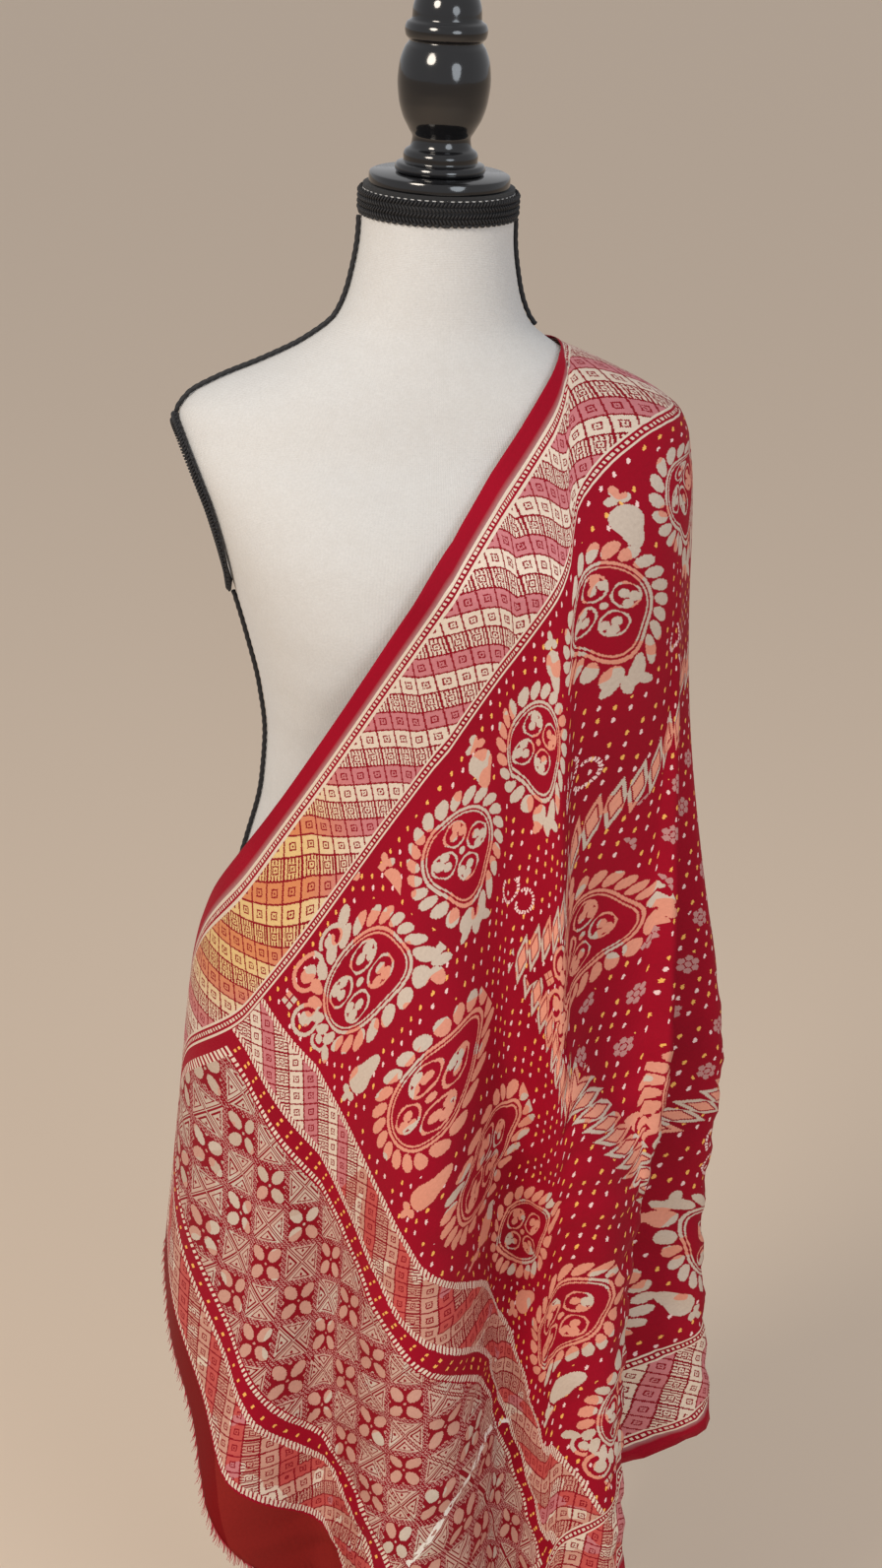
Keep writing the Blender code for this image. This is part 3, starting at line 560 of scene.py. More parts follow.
class Wire:      # one value in a node tree, so that sums read plainly
    def __init__(self, tree, socket):
        self.tree = tree
        self.socket = socket

    def work(self, operation, *others):
        node = self.tree.nodes.new("ShaderNodeMath")
        node.operation = operation
        for i, value in enumerate((self, *others)):
            if isinstance(value, Wire):
                self.tree.links.new(value.socket, node.inputs[i])
            else:
                node.inputs[i].default_value = value
        return Wire(self.tree, node.outputs[0])

    def __add__(self, other):
        return self.work("ADD", other)

    def __sub__(self, other):
        return self.work("SUBTRACT", other)

    def __mul__(self, other):
        return self.work("MULTIPLY", other)

    def __truediv__(self, other):
        return self.work("DIVIDE", other)

    def size(self):
        return self.work("ABSOLUTE")

    def below(self, other):
        return self.work("LESS_THAN", other)

    def above(self, other):
        return self.work("GREATER_THAN", other)

    def near(self, other, within):
        return self.work("COMPARE", other, within)

    def within(self, low, high):
        return self.near((low + high) / 2, (high - low) / 2)

    def least(self, other):
        return self.work("MINIMUM", other)

    def most(self, other):
        return self.work("MAXIMUM", other)

    def step(self):
        return self.work("FLOOR")

    def part(self):
        return self.work("FRACT")

    def flip(self):      # 1 - value
        return self.work("MULTIPLY_ADD", -1.0, 1.0)

    def whether(self, yes, no):      # yes where this is 1, no where it is 0
        node = self.tree.nodes.new("ShaderNodeMix")
        node.data_type = "FLOAT"
        for i, value in ((0, self), (2, no), (3, yes)):
            if isinstance(value, Wire):
                self.tree.links.new(value.socket, node.inputs[i])
            else:
                node.inputs[i].default_value = value
        return Wire(self.tree, node.outputs[0])


def fade(value, far, near):      # 0 at far, 1 at near
    node = value.tree.nodes.new("ShaderNodeMapRange")
    node.interpolation_type = "SMOOTHSTEP"
    value.tree.links.new(value.socket, node.inputs[0])
    low, high = (near, far) if near < far else (far, near)
    node.inputs[1].default_value = low
    node.inputs[2].default_value = high
    node.inputs[3].default_value = 1.0 if near < far else 0.0
    node.inputs[4].default_value = 0.0 if near < far else 1.0
    return Wire(value.tree, node.outputs[0])


def farFrom(x, y):      # length of (x, y)
    return (x * x + y * y).work("SQRT")


def layered(tree, colour, mask, over):      # paints a colour over another where the mask is 1
    node = tree.nodes.new("ShaderNodeMix")
    node.data_type = "RGBA"
    tree.links.new(mask.socket, node.inputs[0])
    for i, value in ((6, colour), (7, over)):
        if isinstance(value, tuple):
            node.inputs[i].default_value = (*value, 1.0)
        else:
            tree.links.new(value, node.inputs[i])
    return node.outputs[2]


def noiseValue(tree, place, scale, detail=2.0, rough=0.5):
    node = tree.nodes.new("ShaderNodeTexNoise")
    node.inputs["Scale"].default_value = scale
    node.inputs["Detail"].default_value = detail
    node.inputs["Roughness"].default_value = rough
    tree.links.new(place, node.inputs["Vector"])
    return Wire(tree, node.outputs["Fac"])


def newGroup(name, inputs, outputs):
    tree = bpy.data.node_groups.new(name, "ShaderNodeTree")
    for title, kind, value in inputs:
        socket = tree.interface.new_socket(title, in_out="INPUT", socket_type=kind)
        if value is not None:
            socket.default_value = value
    for title, kind in outputs:
        tree.interface.new_socket(title, in_out="OUTPUT", socket_type=kind)
    enter = tree.nodes.new("NodeGroupInput")
    leave = tree.nodes.new("NodeGroupOutput")
    return tree, enter, leave


def addBump(shader, height, strength, distance):      # height is a value of the shader's own tree
    tree = height.tree
    bump = tree.nodes.new("ShaderNodeBump")
    bump.inputs["Strength"].default_value = strength
    bump.inputs["Distance"].default_value = distance
    tree.links.new(height.socket, bump.inputs["Height"])
    tree.links.new(bump.outputs[0], shader.inputs["Normal"])


# the woven and dyed pattern, by distances on the flat cloth in metres
patternValues = {
    "thread": 0.0008,          # one woven step
    "fieldStarts": 0.335,      # from an end to the field
    "borderWide": 0.092,       # from a selvage to the field
    "checkAlong": 0.0175,
    "checkAcross": 0.0220,
    "squareAlong": 0.0436,
    "squareAcross": 0.0545,
    "paisleyGap": 0.107,
    "paisleyGapAcross": 0.1212,
    "paisleyIn": 0.065,        # from the field's edges to the first paisley's middle
    "paisleySize": 0.047,
    "chainIn": 0.170,
    "chainStep": 0.0165,
    "dropBack": 0.034,         # from the paisleys' middles back to the drops'
    "paisleyLean": 26.0,       # degrees that the side row's paisleys lean to the end
}
diagonal = 0.7071      # sine of the 45 degrees that leaning motifs are turned by
clothColours = {
    "red": (0.415, 0.000, 0.019),
    "redDeep": (0.23, 0.000, 0.011),
    "redPlain": (0.190, 0.002, 0.003),
    "redSheer": (0.245, 0.013, 0.010),
    "silver": (0.66, 0.56, 0.47),
    "cream": (0.80, 0.68, 0.56),
    "pink": (0.62, 0.22, 0.24),
    "coral": (0.80, 0.34, 0.24),
    "gold": (0.92, 0.50, 0.12),
    "white": (0.90, 0.66, 0.64),
    "line": (0.27, 0.002, 0.012),
}


def shawlPattern():
    v = patternValues
    c = clothColours
    tree, enter, leave = newGroup(
        "shawlPattern",
        [("Along", "NodeSocketFloat", 0.0), ("Across", "NodeSocketFloat", 0.0)],
        [("Colour", "NodeSocketColor"), ("Thread", "NodeSocketFloat")],
    )
    s0 = Wire(tree, enter.outputs["Along"])
    t0 = Wire(tree, enter.outputs["Across"])
    join = tree.nodes.new("ShaderNodeCombineXYZ")
    tree.links.new(s0.socket, join.inputs[0])
    tree.links.new(t0.socket, join.inputs[1])
    place = join.outputs[0]
    s = s0.work("SNAP", v["thread"])
    t = t0.work("SNAP", v["thread"])
    sm = s.least((s - clothValues["length"]).size())
    tm = t.least((t - clothValues["width"]).size())
    sm = sm + fade(t, 0.60, 0.38) * fade(sm, 0.45, 0.32) * 0.035 + fade(sm, 0.16, 0.02) * 0.012
    start, edge = v["fieldStarts"], v["borderWide"]
    side = tm.below(edge)
    field = sm.above(start) * tm.above(edge)
    pallu = sm.below(start) * tm.above(edge)
    coarse = noiseValue(tree, place, 9.0, 2.0)
    patch = noiseValue(tree, place, 34.0, 1.0)

    # ground
    ground = layered(tree, c["red"], coarse, c["redDeep"])
    plain = sm.below(0.074) * tm.above(0.012)
    ground = layered(tree, ground, plain, c["redPlain"])
    ground = layered(tree, ground, plain * (t + s * 3.0 - 0.47).above(0.0), c["redSheer"])
    pinkish = patch.above(0.56)
    silver = layered(tree, c["silver"], pinkish, c["coral"])

    # checks of the side and cross borders
    a = sm / v["checkAlong"] + tm / v["checkAcross"]
    b = sm / v["checkAlong"] - tm / v["checkAcross"]
    p = (a.part() - 0.5).size()
    q = (b.part() - 0.5).size()
    outer = p.most(q)
    band = side.whether(b.step(), a.step())
    kind = ((band / 3.0).part() * 3.0).work("ROUND")
    dense = kind.near(0.0, 0.2) + kind.near(3.0, 0.2)
    isPink = kind.near(2.0, 0.2)
    hatch = (side.whether(a, b) * 5.0).part().below(0.42) * outer.above(0.24) * dense
    dark = outer.above(0.452).most(outer.within(0.13, 0.20)).most(outer.below(0.05)).most(hatch)
    checks = layered(tree, c["cream"], isPink, c["pink"])
    warm = fade(farFrom((s - 0.34) * 0.60, t - 0.02), 0.100, 0.045)
    warmTone = layered(tree, (0.82, 0.58, 0.26), isPink, (0.74, 0.28, 0.12))
    checks = layered(tree, checks, warm * t.below(edge), warmTone)
    coralTone = layered(tree, (0.66, 0.36, 0.28), isPink, (0.60, 0.10, 0.09))
    lowRight = (sm.below(start) * t.above(0.28)).most(sm.below(start - 0.1) * t.above(0.18))
    checks = layered(tree, checks, lowRight * patch.above(0.40), coralTone)
    checks = layered(tree, checks, dark, c["line"])
    checkRows = tm.within(0.024, 0.083) * side
    checkRows = checkRows.most(pallu * (sm.within(0.080, 0.116).most(sm.within(0.292, 0.330))))
    colour = layered(tree, ground, checkRows, checks)

    # narrow lines and dashes beside the borders
    nearSelvage = tm.within(0.015, 0.024)
    ladder = nearSelvage.most(tm.within(0.083, 0.092))
    u = nearSelvage.whether(tm - 0.015, tm - 0.083) / 0.009
    beads = (u - 0.5).size().below(0.14) * (s / 0.0034).part().below(0.55)
    rungs = u.below(0.20).most(u.above(0.80)).most(beads)
    colour = layered(tree, colour, ladder * rungs, c["cream"])
    pale = tm.within(0.0105, 0.0145) * ((tm - 0.0105) / 0.004)
    colour = layered(tree, colour, pale * 0.75, (0.42, 0.24, 0.24))
    inPallu = tm.above(0.0925)
    dotted = sm.within(0.0755, 0.080).most(sm.within(0.116, 0.1205))
    dotted = dotted.most(sm.within(0.2875, 0.292)).most(sm.within(0.330, 0.3345))
    slant = (t + sm * 0.8) / 0.0042
    colour = layered(tree, colour, dotted * inPallu * slant.part().below(0.6), c["cream"])
    panelSide = tm.within(0.1005, 0.1065) * sm.within(0.130, 0.275)
    panelEnds = (sm.within(0.1315, 0.1355).most(sm.within(0.2695, 0.2735))) * tm.above(0.1005)
    edgeDash = (panelSide.whether(sm, tm) / 0.0046).part().below(0.55)
    deep = sm.within(0.1365, 0.2685) * tm.above(0.1065)

    # woven squares of the panel
    a = sm / v["squareAlong"] + t / v["squareAcross"]
    b = sm / v["squareAlong"] - t / v["squareAcross"]
    p = (a.part() - 0.5).size() * 2.0
    q = (b.part() - 0.5).size() * 2.0
    m = p.most(q)
    n = p.least(q)
    odd = ((a.step() + b.step()) / 2.0).part().above(0.25)
    slantEdge = (m - n) * diagonal
    crossLine = slantEdge.within(0.020, 0.085)
    inner = (slantEdge - 0.19).least((m - 0.79) * -1.0)
    whiteDot = farFrom(m - 0.62, n).below(0.075)
    threeCorner = inner.within(0.0, 0.060).most(whiteDot.most(slantEdge.below(0.0)))
    crossSquare = (crossLine.most(threeCorner)).flip()
    lean = (p + q - 0.94) * diagonal
    wide = (p - q) * diagonal
    petals = ((lean * lean) / 0.185 + (wide * wide) / 0.085).below(1.0)
    buds = farFrom(m - 0.86, n).below(0.085).most(farFrom(p, q).below(0.07))
    flowerSquare = petals.most(buds)
    square = odd.whether(crossSquare, flowerSquare) * m.below(0.86)
    lines = m.within(0.885, 0.935).most(m.above(0.975))
    dash = ((a + b) * 9.0).part().below(0.62)
    square = square.most(lines * dash)
    panelTone = layered(tree, (0.60, 0.47, 0.38), lowRight.most(patch.above(0.60)) * 0.8, (0.66, 0.33, 0.26))
    shine = noiseValue(tree, place, 21.0, 1.0).above(0.60).most(odd * 0.55)
    silverTone = layered(tree, panelTone, shine, c["silver"])
    lineTone = layered(tree, silverTone, lines * m.above(0.86), (0.62, 0.33, 0.30))
    colour = layered(tree, colour, deep, c["line"])
    colour = layered(tree, colour, deep * square, lineTone)
    # painted highlight: a broken near-white line where light catches a crease curving across the panel
    wearAndHighlight = (s - 0.19) * (s - 0.19) * 5.0 + 0.621
    broken = noiseValue(tree, place, 150.0, 2.0).above(0.47)
    creaseHighlight = (t - wearAndHighlight).size().below(0.0032) * s.within(0.150, 0.292) * broken
    colour = layered(tree, colour, creaseHighlight, (0.92, 0.88, 0.82))
    colour = layered(tree, colour, panelSide.most(panelEnds * panelSide.flip()) * edgeDash, c["cream"])
    stitchRows = sm.within(0.277, 0.2795).most(sm.within(0.2815, 0.284)).most(sm.within(0.124, 0.1265))
    stitchDots = stitchRows * inPallu * (t / 0.0150).part().below(0.17)
    colour = layered(tree, colour, stitchDots, c["gold"])

    # rows of paisleys inside the borders
    gap, gapAcross, inset = v["paisleyGap"], v["paisleyGapAcross"], v["paisleyIn"]
    firstS, firstT = start + inset, edge + inset
    chainS, chainT = start + v["chainIn"], edge + v["chainIn"] + 0.030
    ks = ((sm - firstS) / gap + 0.5).step()
    kt = ((tm - firstT) / gapAcross + 0.5).step()
    crossRow = ks.below(0.5)
    innerCorner = (sm - chainS - 0.066).size().below(0.055) * (tm - chainT - 0.070).size().below(0.056)
    corner = crossRow * kt.below(0.5)
    corner = corner.most(innerCorner)
    centreS = innerCorner.whether(chainS + 0.066, crossRow.whether(firstS, ks * gap + firstS))
    centreT = innerCorner.whether(chainT + 0.074, crossRow.whether(kt * gapAcross + firstT, firstT))
    ds = sm - centreS
    dt = tm - centreT
    lean = math.radians(v["paisleyLean"])
    rowX = ds * math.cos(lean) + dt * math.sin(lean)
    rowY = dt * math.cos(lean) - ds * math.sin(lean)
    x = corner.whether((ds - dt) * diagonal, crossRow.whether(dt, rowX))
    y = corner.whether((ds + dt) * diagonal, crossRow.whether(ds, rowY))
    bandArea = (sm.below(firstS + 0.087)).most(tm.below(firstT + 0.087)).most(innerCorner) * field
    big = v["paisleySize"]
    r = farFrom(x, y) / big
    phi = x.work("ARCTAN2", y)
    bump = ((phi * phi) * -4.5).work("EXPONENT")
    reach = bump * crossRow.whether(0.34, 0.46) + 1.0
    f = r / reach
    turn = phi * (22 / (2 * math.pi)) + (f - 0.86) * 1.6
    cell = (turn.part() - 0.5).size()
    ring = (f - 0.855).size()
    ragged = (phi * (88 / (2 * math.pi))).part() * 0.10 + 0.92
    petal = ((cell * cell) / 0.19 + (ring * ring) / 0.0215).below(ragged) * bandArea
    bandLines = f.within(0.640, 0.690).most(f.within(0.585, 0.612))
    four = (phi * (4 / (2 * math.pi)) + 0.5).part() - 0.5
    swing = four * (math.pi / 2)
    lobeX = r * swing.work("COSINE")
    lobeRaw = r * swing.work("SINE")
    lobeY = lobeRaw.size()
    sprig = farFrom(lobeX - 0.43, lobeY).below(0.085).most(farFrom(lobeX - 0.31, lobeY - 0.085).below(0.075))
    curl = (farFrom(lobeX - 0.33, lobeRaw - 0.05) - 0.20).size().below(0.020) * (lobeRaw + lobeX).below(0.66)
    inside = (sprig.most(curl).most(farFrom(x, y).below(0.0028))) * f.below(0.56)
    tipLeaf = farFrom((y - big * 1.40) * 0.55, x).below(0.0042)
    sideLeafX = (x.size() - 0.0105) * 0.80 + (y - big * 1.37) * 0.6
    sideLeafY = (y - big * 1.37) * 0.80 - (x.size() - 0.0105) * 0.6
    sideLeaf = farFrom(sideLeafY, sideLeafX * 0.5).below(0.0040)
    leaves = tipLeaf.most(sideLeaf)
    between = crossRow.whether(
        tm - firstT - (((tm - firstT) / gapAcross).step() + 0.5) * gapAcross,
        sm - firstS - (((sm - firstS) / gap).step() + 0.5) * gap,
    )
    inward = crossRow.whether(sm - firstS, tm - firstT) + v["dropBack"]
    dropX = crossRow.whether(between, between * math.cos(lean) + inward * math.sin(lean))
    dropY = crossRow.whether(inward, inward * math.cos(lean) - between * math.sin(lean))
    dropPhi = dropX.work("ARCTAN2", dropY)
    dropReach = ((dropPhi * dropPhi) * -5.0).work("EXPONENT") * 1.0 + 1.0
    drop = (farFrom(dropX, dropY) / dropReach).below(0.0108)
    bud = farFrom((dropX.size() - 0.0042) * 0.75, dropY + 0.0150).below(0.0034)
    bud = bud.most(farFrom(dropX, (dropY + 0.0205) * 0.7).below(0.0032))
    bud = bud * farFrom(dropX, dropY + 0.012).above(0.0016)
    pastFirst = crossRow.whether(tm, sm).above(crossRow.whether(firstT, firstS))
    drop = drop.most(bud) * innerCorner.flip() * pastFirst
    ax = x.size()
    scroll = (farFrom(ax - 0.0175, y + 0.0485) - 0.0120).size().below(0.0017)
    scroll = scroll.most(farFrom(ax - 0.0165, y + 0.0485).below(0.0062))
    scroll = scroll.most((farFrom(ax - 0.0350, y + 0.0330) - 0.0085).size().below(0.0015) * ax.above(0.030))
    scroll = scroll.most(farFrom(ax - 0.0345, y + 0.0340).below(0.0042))
    scroll = scroll.most(farFrom((ax - 0.047) * 0.6, y + 0.0255).below(0.0045))
    foot = (ax + (y + 0.0640).size()).below(0.0078) * (ax - (y + 0.0640).size()).size().above(0.0009)
    scroll = (scroll.most(foot)) * corner
    onMotif = (petal.most(bandLines.most(inside)).most(leaves).most(drop).most(scroll)) * bandArea
    motifTone = layered(tree, silver, tm.above(0.24) * patch.above(0.40), c["coral"])
    colour = layered(tree, colour, onMotif, motifTone)
    clear = f.above(1.10) * (leaves.flip()) * (drop.flip()) * (scroll.flip())

    # chain of lozenges between the paisleys and the inner field
    alongArm = tm.near(chainT, 0.024) * sm.above(chainS - 0.005)
    acrossArm = sm.near(chainS, 0.024) * tm.above(chainT - 0.005)
    step = v["chainStep"]
    armAlong = alongArm.whether(sm - chainS, tm - chainT)
    armAcross = alongArm.whether(tm - chainT, sm - chainS)
    link = ((armAlong + armAcross) / step + 0.5).step()
    across = (armAlong + armAcross - link * step) * diagonal
    tall = (armAcross - armAlong + link * step) * diagonal
    lozenge = across.size() / 0.0080 + tall.size() / 0.0215
    chain = (alongArm.most(acrossArm)) * field * innerCorner.flip()
    chainRim = chain * lozenge.within(0.66, 1.0)
    colour = layered(tree, colour, chainRim, silver)
    colour = layered(tree, colour, chain * lozenge.below(0.52), c["coral"])
    clear = clear * (chain * lozenge.below(1.15)).flip()

    # tied dots, dotted curls and small round flowers
    beyond = sm.above(chainS + 0.012) * tm.above(chainT + 0.012) * innerCorner.flip()
    a = s / 0.052 + t / 0.060
    b = s / 0.052 - t / 0.060
    fs = (a.part() - 0.5 + b.part() - 0.5) * 0.026
    ft = (a.part() - 0.5 - b.part() + 0.5) * 0.030
    fr = farFrom(fs, ft)
    fa = ((fs.work("ARCTAN2", ft) * (6 / (2 * math.pi))).part() - 0.5) * (2 * math.pi / 6)
    roundPetals = farFrom(fr * fa.work("COSINE") - 0.0052, fr * fa.work("SINE")).below(0.0024)
    flowers = roundPetals.most(fr.below(0.0022)) * beyond
    colour = layered(tree, colour, flowers, (0.52, 0.26, 0.25))
    clear = clear * (beyond * fr.below(0.010)).flip()
    a = s / 0.0122 + t / 0.0150
    b = s / 0.0122 - t / 0.0150
    ds2 = (a.part() - 0.5 + b.part() - 0.5) * 0.0061
    dt2 = (a.part() - 0.5 - b.part() + 0.5) * 0.0075
    longer = (ds2 - dt2) * diagonal
    shorter = (ds2 + dt2) * diagonal
    dot = farFrom(longer * 0.50, shorter * 0.95).below(0.00105)
    odd = ((a.step() * 0.37 + b.step() * 0.61).part())
    dots = dot * field * clear * odd.above(0.22)
    dotTone = layered(tree, c["gold"], odd.above(0.62), c["white"])
    colour = layered(tree, colour, dots, dotTone)
    curlX = crossRow.whether(dt, ds) - 0.022
    curlY = crossRow.whether(sm - start - 0.136, tm - edge - 0.150)
    arcs = []
    for sign in (1, -1):      # the upper and the lower arc of each curl
        arcX = curlX - 0.0030 * sign
        arcY = curlY - 0.0105 * sign
        arcTurn = arcX.work("ARCTAN2", arcY)
        onArc = (farFrom(arcX, arcY) - 0.0095).size().below(0.0014)
        arcs.append(onArc * (arcTurn * sign).above(-1.9) * (arcTurn * 3.2).part().below(0.66))
    curlArea = field * f.above(1.08) * chain.flip() * innerCorner.flip()
    curls = arcs[0].most(arcs[1]) * curlArea
    colour = layered(tree, colour, curls, c["white"])

    thread = checkRows * dark.flip()
    thread = thread.most(deep * square).most(onMotif).most(ladder * rungs).most(chainRim)
    tree.links.new(colour, leave.inputs["Colour"])
    tree.links.new(thread.socket, leave.inputs["Thread"])
    return tree


def clothMaterial():
    mat = bpy.data.materials.new("bandhaniGeorgette")
    mat.use_nodes = True
    tree = mat.node_tree
    shader = tree.nodes["Principled BSDF"]
    uv = tree.nodes.new("ShaderNodeUVMap")
    uv.uv_map = "weave"
    split = tree.nodes.new("ShaderNodeSeparateXYZ")
    tree.links.new(uv.outputs[0], split.inputs[0])
    pattern = tree.nodes.new("ShaderNodeGroup")
    pattern.node_tree = shawlPattern()
    tree.links.new(split.outputs[0], pattern.inputs["Along"])
    tree.links.new(split.outputs[1], pattern.inputs["Across"])
    thread = Wire(tree, pattern.outputs["Thread"])
    crepe = noiseValue(tree, uv.outputs[0], 900.0, 2.0)
    stripe = noiseValue(tree, uv.outputs[0], 420.0, 3.0, 0.6)
    shade = tree.nodes.new("ShaderNodeMix")
    shade.data_type = "RGBA"
    shade.blend_type = "MULTIPLY"
    tree.links.new(((stripe - 0.5) * 0.9 + 0.35).socket, shade.inputs[0])
    tree.links.new(pattern.outputs["Colour"], shade.inputs[6])
    shade.inputs[7].default_value = (0.70, 0.66, 0.64, 1.0)
    tree.links.new(shade.outputs[2], shader.inputs["Base Color"])
    tree.links.new((thread * -0.26 + 0.72 + (crepe - 0.5) * 0.2).socket, shader.inputs["Roughness"])
    tree.links.new((thread * 0.20).socket, shader.inputs["Metallic"])
    shader.inputs["Sheen Weight"].default_value = 0.06
    shader.inputs["Sheen Roughness"].default_value = 0.45
    shader.inputs["Sheen Tint"].default_value = (1.0, 0.35, 0.35, 1.0)
    shader.inputs["Specular IOR Level"].default_value = 0.14
    addBump(shader, crepe * 0.5 + thread * 0.6 + stripe * thread * 0.5, 0.35, clothValues["thick"])
    return mat


shawlCloth.data.materials.clear()
shawlCloth.data.materials.append(clothMaterial())
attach(shawlCloth, "root")
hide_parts("cloth")
print("cloth coloured")

# the form under the shawl, its braids, cords, knob and stand
formValues = {
    "sides": 128,
    "rows": 120,
    "neckTop": 1.558,
    "torsoBottom": 0.720,
    "braidLow": 1.536,
    "braidHigh": 1.556,
    "armholeHeight": 1.318,
    "armholeTall": 0.064,
    "armholeWide": 0.046,
    "cordRadius": 0.0020,
    "discRadius": 0.0515,
    "discTall": 0.0085,
    "gap": 0.0003,
    "collarTall": 0.030,
    "poleRadius": 0.0160,
    "baseTall": 0.034,
}
knobRows = (
    (0.0000, 0.0000),
    (0.0315, 0.0000),
    (0.0330, 0.0025),
    (0.0318, 0.0062),
    (0.0270, 0.0080),
    (0.0272, 0.0120),
    (0.0262, 0.0150),
    (0.0222, 0.0185),
    (0.0212, 0.0245),
    (0.0240, 0.0300),
    (0.0288, 0.0390),
    (0.0322, 0.0510),
    (0.0335, 0.0640),
    (0.0325, 0.0760),
    (0.0290, 0.0870),
    (0.0262, 0.0915),
    (0.0288, 0.0945),
    (0.0297, 0.0990),
    (0.0286, 0.1035),
    (0.0250, 0.1065),
    (0.0246, 0.1130),
    (0.0226, 0.1210),
    (0.0170, 0.1275),
    (0.0090, 0.1312),
    (0.0000, 0.1325),
)
baseRows = (
    (0.0000, 0.0000),
    (0.1600, 0.0000),
    (0.1650, 0.0040),
    (0.1650, 0.0120),
    (0.1600, 0.0165),
    (0.1200, 0.0190),
    (0.0600, 0.0225),
    (0.0340, 0.0270),
    (0.0270, 0.0340),
    (0.0000, 0.0340),
)


def formSize(height):      # a height with the form's half width, depths and roundness there
    at = np.array([height])
    return [height, *[float(curveThrough(at, formTable[:, 0], formTable[:, k])[0]) for k in range(1, 5)]]


def formPoint(place, size):      # point of a cross section, place in degrees from the front
    c = math.cos(math.radians(place))
    s = math.sin(math.radians(place))
    deep = size[2] if c > 0 else size[3]
    power = 2.0 / size[4]
    x = size[1] * math.copysign(abs(s) ** power, s)
    y = -deep * math.copysign(abs(c) ** power, c)
    return Vector((x, y, size[0]))


def newPiece(name, points, faces):
    mesh = bpy.data.meshes.new(name)
    mesh.from_pydata([tuple(p) for p in points], [], faces)
    for face in mesh.polygons:
        face.use_smooth = True
    return linked(name, mesh)


def gridFaces(rings, sides, closed=False):      # faces between rings of points, with end caps
    faces = []
    for i in range(rings if closed else rings - 1):
        for k in range(sides):
            a, b = i * sides, ((i + 1) % rings) * sides
            n = (k + 1) % sides
            faces.append((a + k, a + n, b + n, b + k))
    if not closed:
        faces.append(tuple(reversed(range(sides))))
        faces.append(tuple((rings - 1) * sides + k for k in range(sides)))
    return faces


def addTorso():
    v = formValues
    points = []
    heights = np.linspace(v["torsoBottom"], v["neckTop"], v["rows"] + 1)
    for height in heights:
        size = formSize(height)
        for k in range(v["sides"]):
            points.append(formPoint(360.0 * k / v["sides"], size))
    return newPiece("formTorso", points, gridFaces(v["rows"] + 1, v["sides"]))


def turnedPiece(name, profile, lift, steps):      # a wooden or metal piece from its profile
    mesh = bpy.data.meshes.new(name)
    edges = [(i, i + 1) for i in range(len(profile) - 1)]
    mesh.from_pydata([(r, 0.0, h + lift) for r, h in profile], edges, [])
    obj = linked(name, mesh)
    turn = obj.modifiers.new("turn", "SCREW")
    turn.axis = "Z"
    turn.steps = steps
    turn.render_steps = steps
    turn.use_merge_vertices = True
    turn.merge_threshold = 0.00001
    turn.use_normal_flip = True
    turn.use_smooth_shade = True
    plainMesh(obj)
    for face in obj.data.polygons:
        face.use_smooth = True
    obj.data.set_sharp_from_angle(angle=math.radians(38))
    return obj


def distances(points):      # how far along a path each of its points is
    hops = np.linalg.norm(np.diff(np.array([tuple(p) for p in points]), axis=0), axis=1)
    return np.concatenate([[0], np.cumsum(hops)])


def smoothProfile(profile, parts):      # more points on a turned outline, through the same ones
    run = distances(profile)
    fine = np.linspace(0, run[-1], parts)
    fine = np.unique(np.concatenate([fine, run[:2], run[-2:]]))
    rs = curveThrough(fine, run, np.array([p[0] for p in profile]))
    hs = curveThrough(fine, run, np.array([p[1] for p in profile]))
    return list(zip(rs.tolist(), hs.tolist()))


def pathFrames(path, outward, closed):      # along, across and out at each point of a path
    frames = []
    count = len(path)
    for i, p in enumerate(path):
        ahead = path[(i + 1) % count] if closed or i < count - 1 else p
        behind = path[i - 1] if closed or i > 0 else p
        along = (ahead - behind).normalized()
        out = outward[i] - along * outward[i].dot(along)
        out.normalize()
        frames.append((along, out.cross(along), out))
    return frames


def evenPath(path, step, closed=False):      # the same path with even steps
    points = [np.array(p) for p in path]
    if closed:
        points.append(points[0])
    run = distances(points)
    count = max(int(round(run[-1] / step)), 2)
    fine = np.linspace(0, run[-1], count + 1)
    flat = np.stack([np.interp(fine, run, [p[k] for p in points]) for k in range(3)], 1)
    if closed:
        flat = flat[:-1]
    return [Vector(p) for p in flat]


def twistedCord(name, path, radius, step=0.0009, pitch=0.0065, sides=12):
    path = evenPath(path, step)
    outward = [Vector((p.x, p.y * 0.4, 0.02)) for p in path]
    points = []
    for i, (p, (along, across, out)) in enumerate(zip(path, pathFrames(path, outward, False))):
        for k in range(sides):
            turn = 2 * math.pi * k / sides
            lay = turn * 3 - 2 * math.pi * i * step / pitch
            r = radius * (0.90 + 0.10 * math.cos(lay))
            points.append(p + across * (r * math.cos(turn)) + out * (r * math.sin(turn)))
    return newPiece(name, points, gridFaces(len(path), sides))


